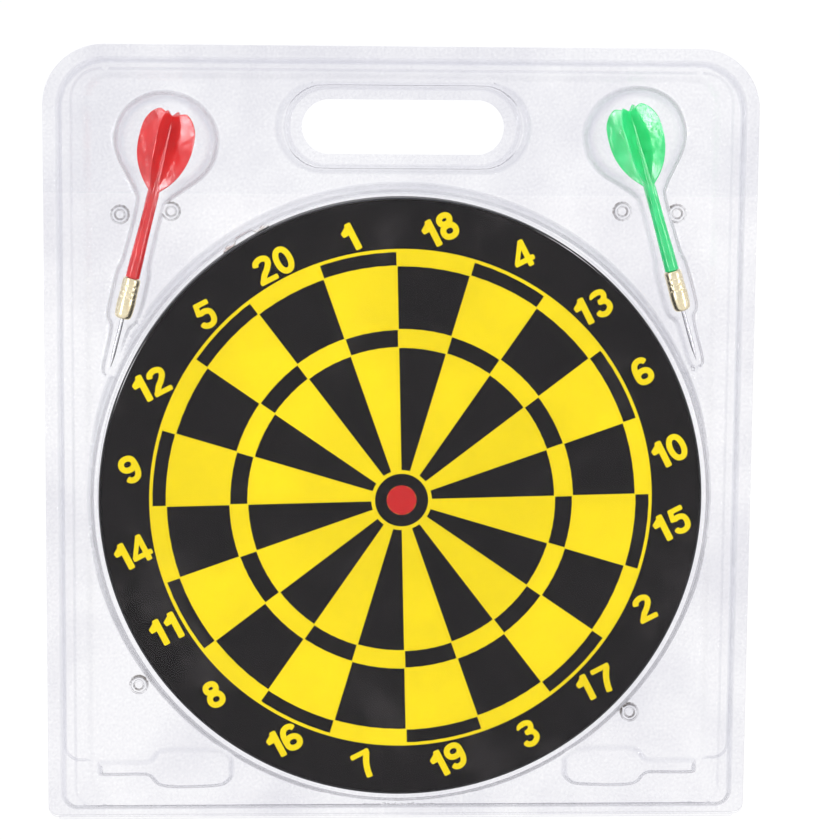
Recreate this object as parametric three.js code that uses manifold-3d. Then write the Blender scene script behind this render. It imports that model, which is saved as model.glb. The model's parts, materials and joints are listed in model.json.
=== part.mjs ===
// A twelve-inch paper dartboard and two needle darts in a clear two-part carrying case.
//
// Millimetres, +Z up, the board faces -Y. The origin is the middle of the straight top edge of the
// case's hand slot, in the rear sheet, which is where the set hangs.
//
// Everything is drawn in the plane of the board: u to the right, v up from the board's centre, and
// w towards the front. One group turns u, v, w into X, Z, -Y at the end of the file.

import * as THREE from 'three';
import { mergeVertices } from 'three/addons/utils/BufferGeometryUtils.js';
import Module from 'manifold-3d';

const wasm = await Module();
wasm.setup();

const RIGHT_ANGLE = Math.PI / 2;
const radians = THREE.MathUtils.degToRad;

// ---- driving dimensions ----------------------------------------------------------------------

// Sheet: both halves are formed from one thickness and lie back to back with a small gap.
const SHEET = 0.8;
const WALL = 0.9; // the same sheet measured level, through a sloping wall
const REAR_FRONT = 0.4; // front surface of the rear sheet
const REAR_BACK = REAR_FRONT - SHEET;
const FRONT_BACK = 1.0; // back surface of the front sheet
const FRONT_FRONT = FRONT_BACK + SHEET;
const FOLD_W = (REAR_FRONT + FRONT_BACK) / 2; // the fold's axis, midway between the sheets
const NEST = 1.5; // how far the rear rim stands inside the front rim, sheet and play together

// Case outline and the raised rim that runs round it.
const CASE = { half: 177, top: 223.5, bottom: -165.3, topRadius: 30, bottomRadius: 5 };
const RIM = { half: 171, top: 218.2, bottom: -161, topRadius: 25, bottomRadius: 9 };
const RIM_STEP = { half: 161.8, top: 210.8, bottom: -156.5, topRadius: 14, bottomRadius: 8 };
const RIM_INSIDE = { half: 152.8, top: 205.7, bottom: -151.8, topRadius: 9, bottomRadius: 8 };
const RIM_HEIGHT = 7;
const RIM_STEP_HEIGHT = 4;
const RIM_INSET = 3.5;
const RIM_STEP_FLARE = 1.2;
const RIM_INSIDE_FLARE = 3.4;
const REAR_RIM_END = -138; // the rear rim stops here, clear of the fold

// Hand slot and the raised bead round it.
const SLOT = { length: 100, height: 27, v: 184 };
const BEAD_OUTER = { length: 128, height: 47, v: 184 };
const BEAD_INNER = { length: 111, height: 36, v: 184 };
const BEAD_HEIGHT = 4.5;
const BEAD_INSET = 2.6;
const BEAD_FLARE = 1.6;

// Board.
const BOARD_RADIUS = 150;
const BOARD_BACK = -1.0;
const BOARD_FRONT = 16.0;
const FACE_THICKNESS = 0.5;
const BAND_THICKNESS = 0.8;
const TOUCH_GAP = 0.3; // between pieces that touch
const COVER_FOOT = 157.8; // radius of the clear cover over the board, where it leaves the flat
const ROUND = 60; // sides of the board's circles
const CORNER_STEPS = 4; // chords in a drafted corner
const EDGE_STEPS = 8; // chords in a corner of a straight-sided outline

// Hanger on the rim.
const HANGER_ANGLE = 31; // degrees anticlockwise from the top
const HANGER_LENGTH = 26;
const HANGER_THICKNESS = 0.8;
const HANGER_BACK = 1.5;
const HANGER_FRONT = 8.5;
const HANGER_BRIDGE = 2.2; // how far the middle stands off the rim
const NAIL_OFFSET = 10;
const NAIL_SHANK = 0.6;
const NAIL_LENGTH = 11;
const NAIL_HOLE = NAIL_SHANK + TOUCH_GAP;

// Darts: lengths from the point.
const DART_W = 6.5;
const NEEDLE_LENGTH = 26;
const BARREL_END = 46.5;
const FLIGHT_START = 90;
const DART_LENGTH = 131;
const NEEDLE_RADIUS = 1.0;
const NEEDLE_SEAT = 8; // how far the needle goes into the barrel
const BARREL_RADIUS = 4.6;
const GRIP_GROOVES = [36.4, 39.2, 42.0];
const GROOVE_WIDTH = 1.4;
const GROOVE_DEPTH = 0.4;
const SHANK_RADIUS = 2.2; // the stem's end in the barrel
const SHANK_LENGTH = 7;
const FIN_RADIUS = 15;
const FIN_THICKNESS = 1.0;
const DARTS = [
  { name: 'red', colour: 0xe5262b, tip: [-144.5, 64.0], lean: 14.0, roll: 36 },
  { name: 'green', colour: 0x2fe07a, tip: [147.3, 69.3], lean: -16.3, roll: 12 },
];

// Dart pockets: [distance from the point, half width], a bottle shape with a round bulb.
const POCKET_PROFILE = [
  [-3.4, 1.8], [0, 3.4], [20, 4.2], [27, 7.6], [47, 7.9], [56, 6.6], [82, 6.4], [88, 8.4],
  [95, 14.2], [102, 20.4], [109, 24.0], [116, 25.0], [124, 23.8], [131, 19.6], [136.5, 12.6],
  [139, 5.5],
];
const POCKET_START = -4.0;
const POCKET_END = 139.6;
const POCKET_FLATTEN = 0.76; // depth over width
const POCKET_FLARE = 1.2;
const POCKET_SIDES = 16;
const BULB_START = 84; // the rear half only clears the flights

// Snap studs: [u, v].
const STUDS = [
  [-139.3, 140.3], [-114.2, 142.0], [109.2, 143.2], [136.6, 142.3], [-131.1, -96.2], [117.4, -111.2],
];
const STUD_RADIUS = 4.8;
const STUD_PLAY = 0.6;
const STUD_HEIGHT = 3.6;
const STUD_DIMPLE = 0.9;
const DIMPLE_RADIUS = 1.5;
const STUD_SIDES = 10;
const REAR_STUD_HEIGHT = 2.8;

// Two empty spare-part pockets at the bottom: half width along the pocket from its round nose.
const SPARE_PROFILE = [
  [0, 4.2], [3, 8.4], [9, 10.6], [30, 11.2], [39, 9.6], [43, 5.4], [47, 4.6], [68, 4.4],
];
const SPARE_NOSE = 83;
const SPARE_V = -139.0;
const SPARE_HEIGHT = 7;
const SPARE_INSET = 2.6;
const SPARE_BOWL_END = 45; // the neck starts here
const SPARE_BOWL_HALF = 12;
const SPARE_REGION_START = 45; // from the middle of the case

const SPLIT_MARGIN = 0.7; // flat sheet left round the foot of a hollow that is its own node

// ---- solids ----------------------------------------------------------------------------------

// A closed geometry as a solid that can be joined and cut.
function solid(geometry) {
  geometry.deleteAttribute('normal');
  geometry.deleteAttribute('uv');
  const merged = mergeVertices(geometry, 1e-4);
  const position = merged.getAttribute('position').array;
  const index = merged.getIndex().array;
  const corners = [];
  for (let i = 0; i < index.length; i += 3) {
    const [a, b, c] = [index[i], index[i + 1], index[i + 2]];
    if (a !== b && b !== c && c !== a) corners.push(a, b, c);
  }
  const vertProperties = new Float32Array(position);
  const triVerts = new Uint32Array(corners);
  return new wasm.Manifold(new wasm.Mesh({ numProp: 3, vertProperties, triVerts }));
}

const join = (solids) => solids.reduce((whole, piece) => whole.add(piece));
const cut = (whole, solids) => solids.reduce((left, piece) => left.subtract(piece), whole);

function geometryOf(shape) {
  const mesh = shape.getMesh();
  const geometry = new THREE.BufferGeometry();
  geometry.setAttribute('position', new THREE.BufferAttribute(new Float32Array(mesh.vertProperties), 3));
  geometry.setIndex(Array.from(mesh.triVerts));
  geometry.computeVertexNormals();
  return geometry;
}

// Straight-sided solid of an outline between two levels of w.
function slab(shape, low, high, curveSegments = EDGE_STEPS) {
  const geometry = new THREE.ExtrudeGeometry(shape, {
    depth: high - low, bevelEnabled: false, curveSegments,
  });
  return geometry.translate(0, 0, low);
}

// Drafted solid: the full outline at level `wide`, shrunk by `inset` at level `narrow`. Its other
// half is the mirror image beyond a thin straight belt at `wide`.
function drafted(shape, wide, narrow, inset) {
  const belt = 0.02;
  const geometry = new THREE.ExtrudeGeometry(shape, {
    depth: belt, bevelEnabled: true, bevelThickness: Math.abs(narrow - wide), bevelSize: inset,
    bevelOffset: -inset, bevelSegments: 1, curveSegments: CORNER_STEPS,
  });
  return geometry.translate(0, 0, narrow > wide ? wide - belt : wide);
}

// Solid of revolution about w from [radius, w] points that start and end on the axis.
function turnedAboutW(points, segments) {
  const profile = points.map(([r, w]) => new THREE.Vector2(r, w));
  return new THREE.LatheGeometry(profile, segments).rotateX(RIGHT_ANGLE);
}

// Solid of revolution about v from [radius, v] points.
function turnedAboutV(points, segments) {
  const profile = points.map(([r, v]) => new THREE.Vector2(r, v));
  return new THREE.LatheGeometry(profile, segments);
}

// Everything in front of, or behind, a level of w.
function halfSpace(low, high) {
  const reach = 1000;
  const box = new THREE.BoxGeometry(reach, reach, high - low);
  return solid(box.translate(0, 0, (low + high) / 2));
}

// ---- outlines --------------------------------------------------------------------------------

function roundedRect({ half, top, bottom, topRadius, bottomRadius }, grow = 0) {
  const x = half + grow;
  const high = top + grow;
  const low = bottom - grow;
  const rt = Math.max(topRadius + grow, 1);
  const rb = Math.max(bottomRadius + grow, 1);
  const shape = new THREE.Shape();
  shape.moveTo(-x + rb, low);
  shape.lineTo(x - rb, low);
  shape.absarc(x - rb, low + rb, rb, -RIGHT_ANGLE, 0, false);
  shape.lineTo(x, high - rt);
  shape.absarc(x - rt, high - rt, rt, 0, RIGHT_ANGLE, false);
  shape.lineTo(-x + rt, high);
  shape.absarc(-x + rt, high - rt, rt, RIGHT_ANGLE, 2 * RIGHT_ANGLE, false);
  shape.lineTo(-x, low + rb);
  shape.absarc(-x + rb, low + rb, rb, 2 * RIGHT_ANGLE, 3 * RIGHT_ANGLE, false);
  return shape;
}

function stadium({ length, height, v }, grow = 0) {
  const r = height / 2 + grow;
  const x = length / 2 - height / 2;
  const shape = new THREE.Shape();
  shape.moveTo(-x, v - r);
  shape.lineTo(x, v - r);
  shape.absarc(x, v, r, -RIGHT_ANGLE, RIGHT_ANGLE, false);
  shape.lineTo(-x, v + r);
  shape.absarc(-x, v, r, RIGHT_ANGLE, 3 * RIGHT_ANGLE, false);
  return shape;
}

// Outline that is symmetric about v, from [distance along v, half width] points.
function mirroredOutline(profile, grow = 0) {
  const side = profile.map(([along, half]) => new THREE.Vector2(half + grow, along));
  const other = side.map((point) => new THREE.Vector2(-point.x, point.y)).reverse();
  return new THREE.Shape([...side, ...other]);
}

// ---- dart pockets ----------------------------------------------------------------------------

// Puts a geometry drawn along a dart, from its point at the origin, where that dart lies.
function placeOnDart(geometry, dart, w) {
  return geometry.rotateZ(-radians(dart.lean)).translate(dart.tip[0], dart.tip[1], w);
}

// The hollow round a dart, a flattened solid of revolution, `shrink` smaller all round.
function pocketHollow(dart, shrink, from = POCKET_START) {
  const inside = POCKET_PROFILE.filter(([along]) => along > from)
    .map(([along, half]) => [half - shrink, along])
    .filter(([radius]) => radius > 0.5);
  const points = [[0, from + shrink], ...inside, [0, POCKET_END - shrink]];
  const geometry = turnedAboutV(points, POCKET_SIDES).scale(1, 1, POCKET_FLATTEN);
  return solid(placeOnDart(geometry, dart, DART_W));
}

// The straight flared foot that joins a dart pocket to the flat sheet in front.
function pocketFoot(dart, drop, shrink) {
  const shape = mirroredOutline(POCKET_PROFILE, POCKET_FLARE - shrink);
  const geometry = drafted(shape, FRONT_FRONT - drop, DART_W, POCKET_FLARE);
  return solid(placeOnDart(geometry, dart, 0));
}

// ---- case halves -----------------------------------------------------------------------------

// The raised rim, `drop` lower and `shrink` thinner than its outer surface. `openBelow` leaves out
// everything under that height, which makes it a U over the top and sides.
function rimSolid(base, drop, shrink, openBelow = null) {
  const level = base - drop;
  const outer = { ...RIM, half: RIM.half - shrink, top: RIM.top - shrink, bottom: RIM.bottom + shrink };
  const step = { ...RIM_STEP };
  const inside = { ...RIM_INSIDE };
  if (openBelow !== null) {
    outer.bottom = openBelow + shrink - NEST;
    step.bottom = openBelow - 60;
    inside.bottom = openBelow - 60;
  }
  const plug = solid(drafted(roundedRect(outer), level, level + RIM_HEIGHT, RIM_INSET));
  const stepFloor = level + RIM_STEP_HEIGHT;
  const stepRim = level + RIM_HEIGHT + 1;
  const stepFlare = RIM_STEP_FLARE * (stepRim - stepFloor) / (RIM_HEIGHT - RIM_STEP_HEIGHT);
  const stepWell = drafted(roundedRect(step, shrink + stepFlare), stepRim, stepFloor, stepFlare);
  const floor = level - 0.4;
  const insideFlare = RIM_INSIDE_FLARE * (stepRim - floor) / RIM_STEP_HEIGHT;
  const insideWell = drafted(roundedRect(inside, shrink + insideFlare), stepRim, floor, insideFlare);
  return cut(plug, [solid(stepWell), solid(insideWell)]);
}

// The raised bead round the hand slot.
function beadSolid(base, drop, shrink) {
  const level = base - drop;
  const outer = drafted(stadium(BEAD_OUTER, -shrink), level, level + BEAD_HEIGHT, BEAD_INSET);
  const top = level + BEAD_HEIGHT + 1;
  const floor = level - 0.4;
  const flare = BEAD_FLARE * (top - floor) / BEAD_HEIGHT;
  const well = drafted(stadium(BEAD_INNER, shrink + flare), top, floor, flare);
  return cut(solid(outer), [solid(well)]);
}

// The board's round pocket in the front half: a flared foot, a small step and a rounded corner.
function boardPocket(drop, shrink) {
  const top = BOARD_FRONT + 0.6 + SHEET - drop;
  const points = [
    [0, -8], [COVER_FOOT, -8], [COVER_FOOT, FRONT_FRONT - drop], [155.0, 9.6 - drop], [154.1, 10.4 - drop],
    [153.3, top - 1.6], [152.7, top - 0.5], [151.6, top],
  ].map(([r, w]) => [Math.max(r - shrink, 0), w]);
  return solid(turnedAboutW([...points, [0, top]], ROUND));
}

// One spare-part pocket, its neck pointing outwards.
function sparePocket(side, drop, shrink) {
  const level = FRONT_FRONT - drop;
  const profile = SPARE_PROFILE.map(([along, half]) => [along, half - shrink]);
  profile[0][0] += shrink;
  profile[profile.length - 1][0] -= shrink;
  const shape = mirroredOutline(profile);
  const geometry = drafted(shape, level, level + SPARE_HEIGHT, SPARE_INSET);
  geometry.rotateZ(-side * RIGHT_ANGLE).translate(side * SPARE_NOSE, SPARE_V, 0);
  return solid(geometry);
}

// A snap stud: a low cap with a rounded edge, and in the front half a dimple in its middle.
function stud(place, low, radius, top, dimpleRadius = 0) {
  const middle = dimpleRadius > 0
    ? [[dimpleRadius + 0.4, top], [dimpleRadius, top - STUD_DIMPLE], [0, top - STUD_DIMPLE]]
    : [[0, top]];
  const points = [[0, low], [radius, low], [radius, top - 0.9], [radius - 0.7, top], ...middle];
  return solid(turnedAboutW(points, STUD_SIDES).translate(place[0], place[1], 0));
}

function frontStud(place, drop, shrink) {
  const top = FRONT_FRONT + STUD_HEIGHT - drop;
  return stud(place, FRONT_BACK - 1, STUD_RADIUS - shrink, top, DIMPLE_RADIUS + shrink);
}

function rearStud(place, drop, shrink) {
  const radius = STUD_RADIUS - WALL - STUD_PLAY - shrink;
  return stud(place, REAR_BACK - 1, radius, REAR_FRONT + REAR_STUD_HEIGHT - drop);
}

function frontRelief(drop, shrink) {
  return join([
    rimSolid(FRONT_FRONT, drop, shrink),
    beadSolid(FRONT_FRONT, drop, shrink),
    boardPocket(drop, shrink),
    ...DARTS.map((dart) => pocketHollow(dart, shrink)),
    ...DARTS.map((dart) => pocketFoot(dart, drop, shrink)),
    ...[-1, 1].map((side) => sparePocket(side, drop, shrink)),
    ...STUDS.map((place) => frontStud(place, drop, shrink)),
  ]);
}

function handSlot() {
  return solid(slab(stadium(SLOT), -20, 20));
}

function frontSheet() {
  const outline = { ...CASE, bottom: CASE.bottom + 1.5 };
  const plate = solid(slab(roundedRect(outline), FRONT_BACK, FRONT_FRONT));
  const outside = join([plate, frontRelief(0, 0)]).intersect(halfSpace(FRONT_BACK, 60));
  return cut(outside, [frontRelief(SHEET, WALL), handSlot()]);
}

// Straight-sided regions of the front sheet. Each is a node of its own, split from the rest of the
// sheet just outside its foot.
function region(shape, curveSegments = CORNER_STEPS) {
  return slab(shape, FRONT_BACK - 1, BOARD_FRONT + 20, curveSegments);
}

function coverRegion(grow) {
  const circle = new THREE.Shape();
  circle.absarc(0, 0, COVER_FOOT + SPLIT_MARGIN + grow, 0, 4 * RIGHT_ANGLE, false);
  return solid(region(circle, ROUND));
}

function slotRegion(grow) {
  return solid(region(stadium(BEAD_OUTER, SPLIT_MARGIN + grow)));
}

function bubbleRegion(dart, grow) {
  const margin = POCKET_FLARE + SPLIT_MARGIN + grow;
  const bulb = POCKET_PROFILE.filter(([along]) => along > BULB_START);
  const [, endHalf] = bulb[bulb.length - 1];
  const shape = mirroredOutline([...bulb, [POCKET_END + margin, endHalf]], margin);
  return solid(placeOnDart(region(shape), dart, 0));
}

function rimRegion(grow) {
  const inner = solid(region(roundedRect(RIM_INSIDE, -SPLIT_MARGIN - grow)));
  return solid(region(roundedRect(CASE, 10))).subtract(inner);
}

// A rectangle from `start` to `end` away from the middle, up to the level `top`.
function sideRegion(side, start, end, top) {
  const bottom = CASE.bottom - 1;
  const box = new THREE.BoxGeometry(end - start, top - bottom, 2 * BOARD_FRONT + 20);
  return solid(box.translate(side * (start + end) / 2, (top + bottom) / 2, 0));
}

function spareRegion(side, grow) {
  const top = SPARE_V + SPARE_BOWL_HALF + SPLIT_MARGIN + grow;
  return sideRegion(side, SPARE_REGION_START, SPARE_NOSE + SPARE_BOWL_END + grow, top);
}

// The regions in the order that they are taken from the sheet.
const FRONT_REGIONS = {
  front_board_cover: coverRegion,
  front_slot_bead: slotRegion,
  front_red_bubble: (grow) => bubbleRegion(DARTS[0], grow),
  front_green_bubble: (grow) => bubbleRegion(DARTS[1], grow),
  front_rim: rimRegion,
  front_spare_pocket_left: (grow) => spareRegion(-1, grow),
  front_spare_pocket_right: (grow) => spareRegion(1, grow),
  front_corner_left: () => sideRegion(-1, 0, CASE.half, 0),
  front_corner_right: () => sideRegion(1, 0, CASE.half, 0),
};

function frontParts() {
  const parts = [];
  let rest = frontSheet();
  for (const [name, make] of Object.entries(FRONT_REGIONS)) {
    parts.push([name, rest.intersect(make(0))]);
    rest = rest.subtract(make(TOUCH_GAP));
  }
  return [['front_shell', rest], ...parts];
}

// The rear half's shapes that stand forward, inside those of the front half. It ends just behind
// the sheet, so that it never reaches into the hollows that go backwards.
function rearRelief(drop, shrink) {
  const relief = join([
    rimSolid(REAR_FRONT, drop, NEST + shrink, REAR_RIM_END),
    beadSolid(REAR_FRONT, drop + NEST - SHEET, NEST + shrink),
    ...STUDS.map((place) => rearStud(place, drop, shrink)),
  ]);
  return relief.intersect(halfSpace(REAR_BACK - 0.2, 60));
}

// The rear half's hollows that go backwards: the board recess and the room for the flights.
function boardRecess(shrink) {
  const radius = BOARD_RADIUS + 1.5 + WALL - shrink;
  const floor = BOARD_BACK - 0.6 - SHEET + shrink * SHEET / WALL;
  return solid(turnedAboutW([[0, floor], [radius - 0.8, floor], [radius, 6], [0, 6]], ROUND));
}

function rearHollows(shrink) {
  return [boardRecess(shrink), ...DARTS.map((dart) => pocketHollow(dart, shrink, BULB_START))];
}

function rearShell() {
  const plate = solid(slab(roundedRect(CASE), REAR_BACK, REAR_FRONT));
  const forward = rearRelief(0, 0).intersect(halfSpace(REAR_BACK, 60));
  const backward = join(rearHollows(0)).intersect(halfSpace(-60, REAR_FRONT));
  const fold = new THREE.CylinderGeometry(1.1, 1.1, 2 * (CASE.half - CASE.bottomRadius), 16);
  fold.rotateZ(RIGHT_ANGLE).translate(0, CASE.bottom, FOLD_W);
  const whole = join([plate, forward, backward, solid(fold)]);
  return cut(whole, [rearRelief(SHEET, WALL), ...rearHollows(WALL), handSlot()]);
}

// ---- board -----------------------------------------------------------------------------------

// A disc about w.
function disc(radius, low, high) {
  const geometry = new THREE.CylinderGeometry(radius, radius, high - low, ROUND);
  return geometry.rotateX(RIGHT_ANGLE).translate(0, 0, (low + high) / 2);
}

// Turns something drawn at the top of the rim round to the hanger's place.
function placeOnRim(geometry) {
  return geometry.rotateZ(radians(HANGER_ANGLE));
}

const NAIL_SIDES = [-1, 1];
const NAIL_W = (HANGER_BACK + HANGER_FRONT) / 2;

function nailPlace(geometry, side) {
  const turn = -side * NAIL_OFFSET / BOARD_RADIUS;
  return placeOnRim(geometry.translate(0, 0, NAIL_W).rotateZ(turn));
}

function nailHole(side) {
  const hole = new THREE.CylinderGeometry(NAIL_HOLE, NAIL_HOLE, 20, 12);
  return solid(nailPlace(hole.translate(0, BOARD_RADIUS - 1.5, 0), side));
}

function boardCore() {
  const radius = BOARD_RADIUS - BAND_THICKNESS - TOUCH_GAP;
  const low = BOARD_BACK + FACE_THICKNESS + TOUCH_GAP;
  const high = BOARD_FRONT - FACE_THICKNESS - TOUCH_GAP;
  return cut(solid(disc(radius, low, high)), NAIL_SIDES.map(nailHole));
}

function faceSheet(low) {
  const radius = BOARD_RADIUS - BAND_THICKNESS - TOUCH_GAP;
  return solid(disc(radius, low, low + FACE_THICKNESS));
}

function edgeBand() {
  const outer = solid(disc(BOARD_RADIUS, BOARD_BACK, BOARD_FRONT));
  const inner = solid(disc(BOARD_RADIUS - BAND_THICKNESS, BOARD_BACK - 1, BOARD_FRONT + 1));
  return cut(outer, [inner, ...NAIL_SIDES.map(nailHole)]);
}

// A bent steel strip on the rim, its flat middle raised so that a hook passes under it.
function hangerBracket() {
  const under = BOARD_RADIUS + TOUCH_GAP;
  const half = HANGER_LENGTH / 2;
  const rises = [
    [-half, 0], [-9.5, 0], [-6.8, 0], [-5.8, 0.25], [-4.8, 0.75], [-3.8, 1],
    [3.8, 1], [4.8, 0.75], [5.8, 0.25], [6.8, 0], [9.5, 0], [half, 0],
  ];
  const edge = (height) => rises.map(([along, rise]) => {
    const angle = along / BOARD_RADIUS;
    const direction = new THREE.Vector2(Math.sin(angle), Math.cos(angle));
    return direction.multiplyScalar(under + rise * HANGER_BRIDGE + height);
  });
  const outline = new THREE.Shape([...edge(0), ...edge(HANGER_THICKNESS).reverse()]);
  const strip = slab(outline, HANGER_BACK, HANGER_FRONT);
  return cut(solid(placeOnRim(strip)), NAIL_SIDES.map(nailHole));
}

function hangerNail(side) {
  const seat = BOARD_RADIUS + TOUCH_GAP + HANGER_THICKNESS + TOUCH_GAP;
  const points = [
    [0, seat - NAIL_LENGTH], [NAIL_SHANK, seat - NAIL_LENGTH + 2], [NAIL_SHANK, seat],
    [1.7, seat], [1.7, seat + 0.35], [1.0, seat + 0.8], [0, seat + 0.9],
  ];
  return solid(nailPlace(turnedAboutV(points, 12), side));
}

// ---- darts -----------------------------------------------------------------------------------

// Fin edge: [distance from the point, distance from the axis].
const FIN_EDGE = [
  [89, 1.0], [92, 4.2], [96, 8.0], [101, 11.4], [107, 13.9], [113, FIN_RADIUS],
  [119, FIN_RADIUS - 0.2], [124, 13.8], [128, 11.4], [130.4, 8.6], [DART_LENGTH, 6.4], [129.4, 2.4],
  [128.6, 0.2],
];

function flightAndStem() {
  const plates = [0, RIGHT_ANGLE].map((turn) => {
    const geometry = slab(mirroredOutline(FIN_EDGE), -FIN_THICKNESS / 2, FIN_THICKNESS / 2);
    return solid(geometry.rotateY(turn));
  });
  const stem = turnedAboutV([
    [0, BARREL_END - SHANK_LENGTH], [SHANK_RADIUS, BARREL_END - SHANK_LENGTH],
    [SHANK_RADIUS, BARREL_END + TOUCH_GAP], [3.5, BARREL_END + TOUCH_GAP], [3.4, BARREL_END + 10],
    [2.6, FLIGHT_START - 4], [2.0, FLIGHT_START + 8], [1.3, FLIGHT_START + 30], [0, FLIGHT_START + 31],
  ], 16);
  return join([solid(stem), ...plates]);
}

function barrel() {
  const nose = NEEDLE_LENGTH;
  const bore = NEEDLE_RADIUS + TOUCH_GAP;
  const boreEnd = nose + NEEDLE_SEAT + TOUCH_GAP;
  const socket = SHANK_RADIUS + TOUCH_GAP;
  const socketEnd = BARREL_END - SHANK_LENGTH - TOUCH_GAP;
  const grooves = GRIP_GROOVES.flatMap((start) => [
    [BARREL_RADIUS - 0.15, start],
    [BARREL_RADIUS - 0.15 - GROOVE_DEPTH, start + GROOVE_WIDTH / 2],
    [BARREL_RADIUS - 0.15, start + GROOVE_WIDTH],
  ]);
  return solid(turnedAboutV([
    [0, boreEnd], [bore, boreEnd], [bore, nose], [2.4, nose], [3.4, nose + 0.5], [4.1, nose + 1.5],
    [4.45, nose + 3], [BARREL_RADIUS, nose + 6], ...grooves, [4.15, BARREL_END - 0.4],
    [3.9, BARREL_END], [socket, BARREL_END], [socket, socketEnd], [0, socketEnd],
  ], 16));
}

function needle() {
  const end = NEEDLE_LENGTH + NEEDLE_SEAT;
  return solid(turnedAboutV([
    [0, 0], [0.35, 2.2], [0.8, 5.5], [NEEDLE_RADIUS, 8.5], [NEEDLE_RADIUS, end], [0, end],
  ], 12));
}

// ---- materials and assembly ------------------------------------------------------------------

function finish(color, roughness, metalness = 0) {
  return new THREE.MeshStandardMaterial({ color, roughness, metalness });
}

function clearSheet() {
  return new THREE.MeshStandardMaterial({
    color: 0xf2f5f8, roughness: 0.08, metalness: 0, transparent: true, opacity: 0.25,
  });
}

function part(name, shape, material) {
  const mesh = new THREE.Mesh(geometryOf(shape), material);
  mesh.name = name;
  return mesh;
}

function dartGroup(dart) {
  const group = new THREE.Group();
  group.position.set(dart.tip[0], dart.tip[1], DART_W);
  group.rotation.set(0, 0, -radians(dart.lean));
  const rolled = new THREE.Group();
  rolled.rotation.y = -radians(dart.roll);
  rolled.add(
    part(`${dart.name}_flight_and_stem`, flightAndStem(), finish(dart.colour, 0.3)),
    part(`${dart.name}_barrel`, barrel(), finish(0xd9b45a, 0.28, 1)),
    part(`${dart.name}_needle`, needle(), finish(0xc9ccd0, 0.22, 1)),
  );
  group.add(rolled);
  return group;
}

const inBoardPlane = new THREE.Group();
inBoardPlane.rotation.x = RIGHT_ANGLE;
inBoardPlane.position.set(0, 0, -(SLOT.v + SLOT.height / 2));
inBoardPlane.add(
  part('rear_shell', rearShell(), clearSheet()),
  ...frontParts().map(([name, shape]) => part(name, shape, clearSheet())),
  part('board_core', boardCore(), finish(0xb59a6a, 0.9)),
  part('front_face_sheet', faceSheet(BOARD_FRONT - FACE_THICKNESS), finish(0xf7dc1e, 0.85)),
  part('rear_face_sheet', faceSheet(BOARD_BACK), finish(0x1f1d1e, 0.85)),
  part('edge_band', edgeBand(), finish(0x1b1b1c, 0.6)),
  part('hanger_bracket', hangerBracket(), finish(0xb8b5ae, 0.35, 1)),
  part('hanger_nail_left', hangerNail(-1), finish(0xa9a7a2, 0.4, 1)),
  part('hanger_nail_right', hangerNail(1), finish(0xa9a7a2, 0.4, 1)),
  ...DARTS.map(dartGroup),
);

const set = new THREE.Group();
set.add(inBoardPlane);

export default set;
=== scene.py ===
# A paper dartboard and two needle darts in a clear folding case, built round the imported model.
#
# Shapes are worked out in the plane of the board, in millimetres: u to the right, v up from the
# board's centre and w towards the front. place() turns them into metres in the frame.

import json
import math

import bpy
import numpy as np
from mathutils import Matrix, Vector
from mathutils.geometry import delaunay_2d_cdt

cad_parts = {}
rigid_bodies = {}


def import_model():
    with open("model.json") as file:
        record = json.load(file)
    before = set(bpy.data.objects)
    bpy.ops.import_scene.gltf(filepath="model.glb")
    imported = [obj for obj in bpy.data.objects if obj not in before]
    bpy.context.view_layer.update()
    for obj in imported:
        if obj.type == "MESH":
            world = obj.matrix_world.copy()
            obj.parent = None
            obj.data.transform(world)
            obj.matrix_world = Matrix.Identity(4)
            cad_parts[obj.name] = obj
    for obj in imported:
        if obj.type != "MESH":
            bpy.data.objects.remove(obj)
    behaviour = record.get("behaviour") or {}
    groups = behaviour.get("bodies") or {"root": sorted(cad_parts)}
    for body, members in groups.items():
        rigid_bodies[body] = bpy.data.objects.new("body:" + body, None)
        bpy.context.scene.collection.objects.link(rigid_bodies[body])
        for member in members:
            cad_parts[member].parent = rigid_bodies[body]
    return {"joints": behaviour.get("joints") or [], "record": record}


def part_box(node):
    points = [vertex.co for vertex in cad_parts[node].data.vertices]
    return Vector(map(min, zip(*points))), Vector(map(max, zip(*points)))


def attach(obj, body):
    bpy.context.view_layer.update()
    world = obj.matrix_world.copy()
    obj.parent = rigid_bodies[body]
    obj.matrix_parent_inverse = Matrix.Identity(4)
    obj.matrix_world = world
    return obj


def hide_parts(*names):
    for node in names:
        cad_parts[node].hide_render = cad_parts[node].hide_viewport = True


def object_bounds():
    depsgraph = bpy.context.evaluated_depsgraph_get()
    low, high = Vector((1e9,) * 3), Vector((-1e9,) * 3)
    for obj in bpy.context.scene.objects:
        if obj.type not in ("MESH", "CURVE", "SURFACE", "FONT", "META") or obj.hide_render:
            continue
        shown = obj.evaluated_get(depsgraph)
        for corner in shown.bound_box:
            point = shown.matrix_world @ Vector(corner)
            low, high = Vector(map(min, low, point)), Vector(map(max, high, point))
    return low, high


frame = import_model()
cad_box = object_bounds()

MM = 0.001
joints = {joint["name"]: joint for joint in frame["joints"]}
FRONT_NODES = frame["record"]["behaviour"]["bodies"]["front_case"]

# ---- sizes, from the frame where it holds them ------------------------------------------------

CENTRE = Vector(joints["board_spin"]["pos_m"])
FOLD = Vector(joints["case_hinge"]["pos_m"])
rear_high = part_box("rear_shell")[1]
band_low, band_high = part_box("edge_band")

SHEET = 0.8
NEST = 1.5  # the rear rim stands this far inside the front rim
WALL = 0.9
REAR_LEVEL = 0.4  # front surface of the rear sheet
FRONT_LEVEL = 1.8  # front surface of the front sheet

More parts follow.
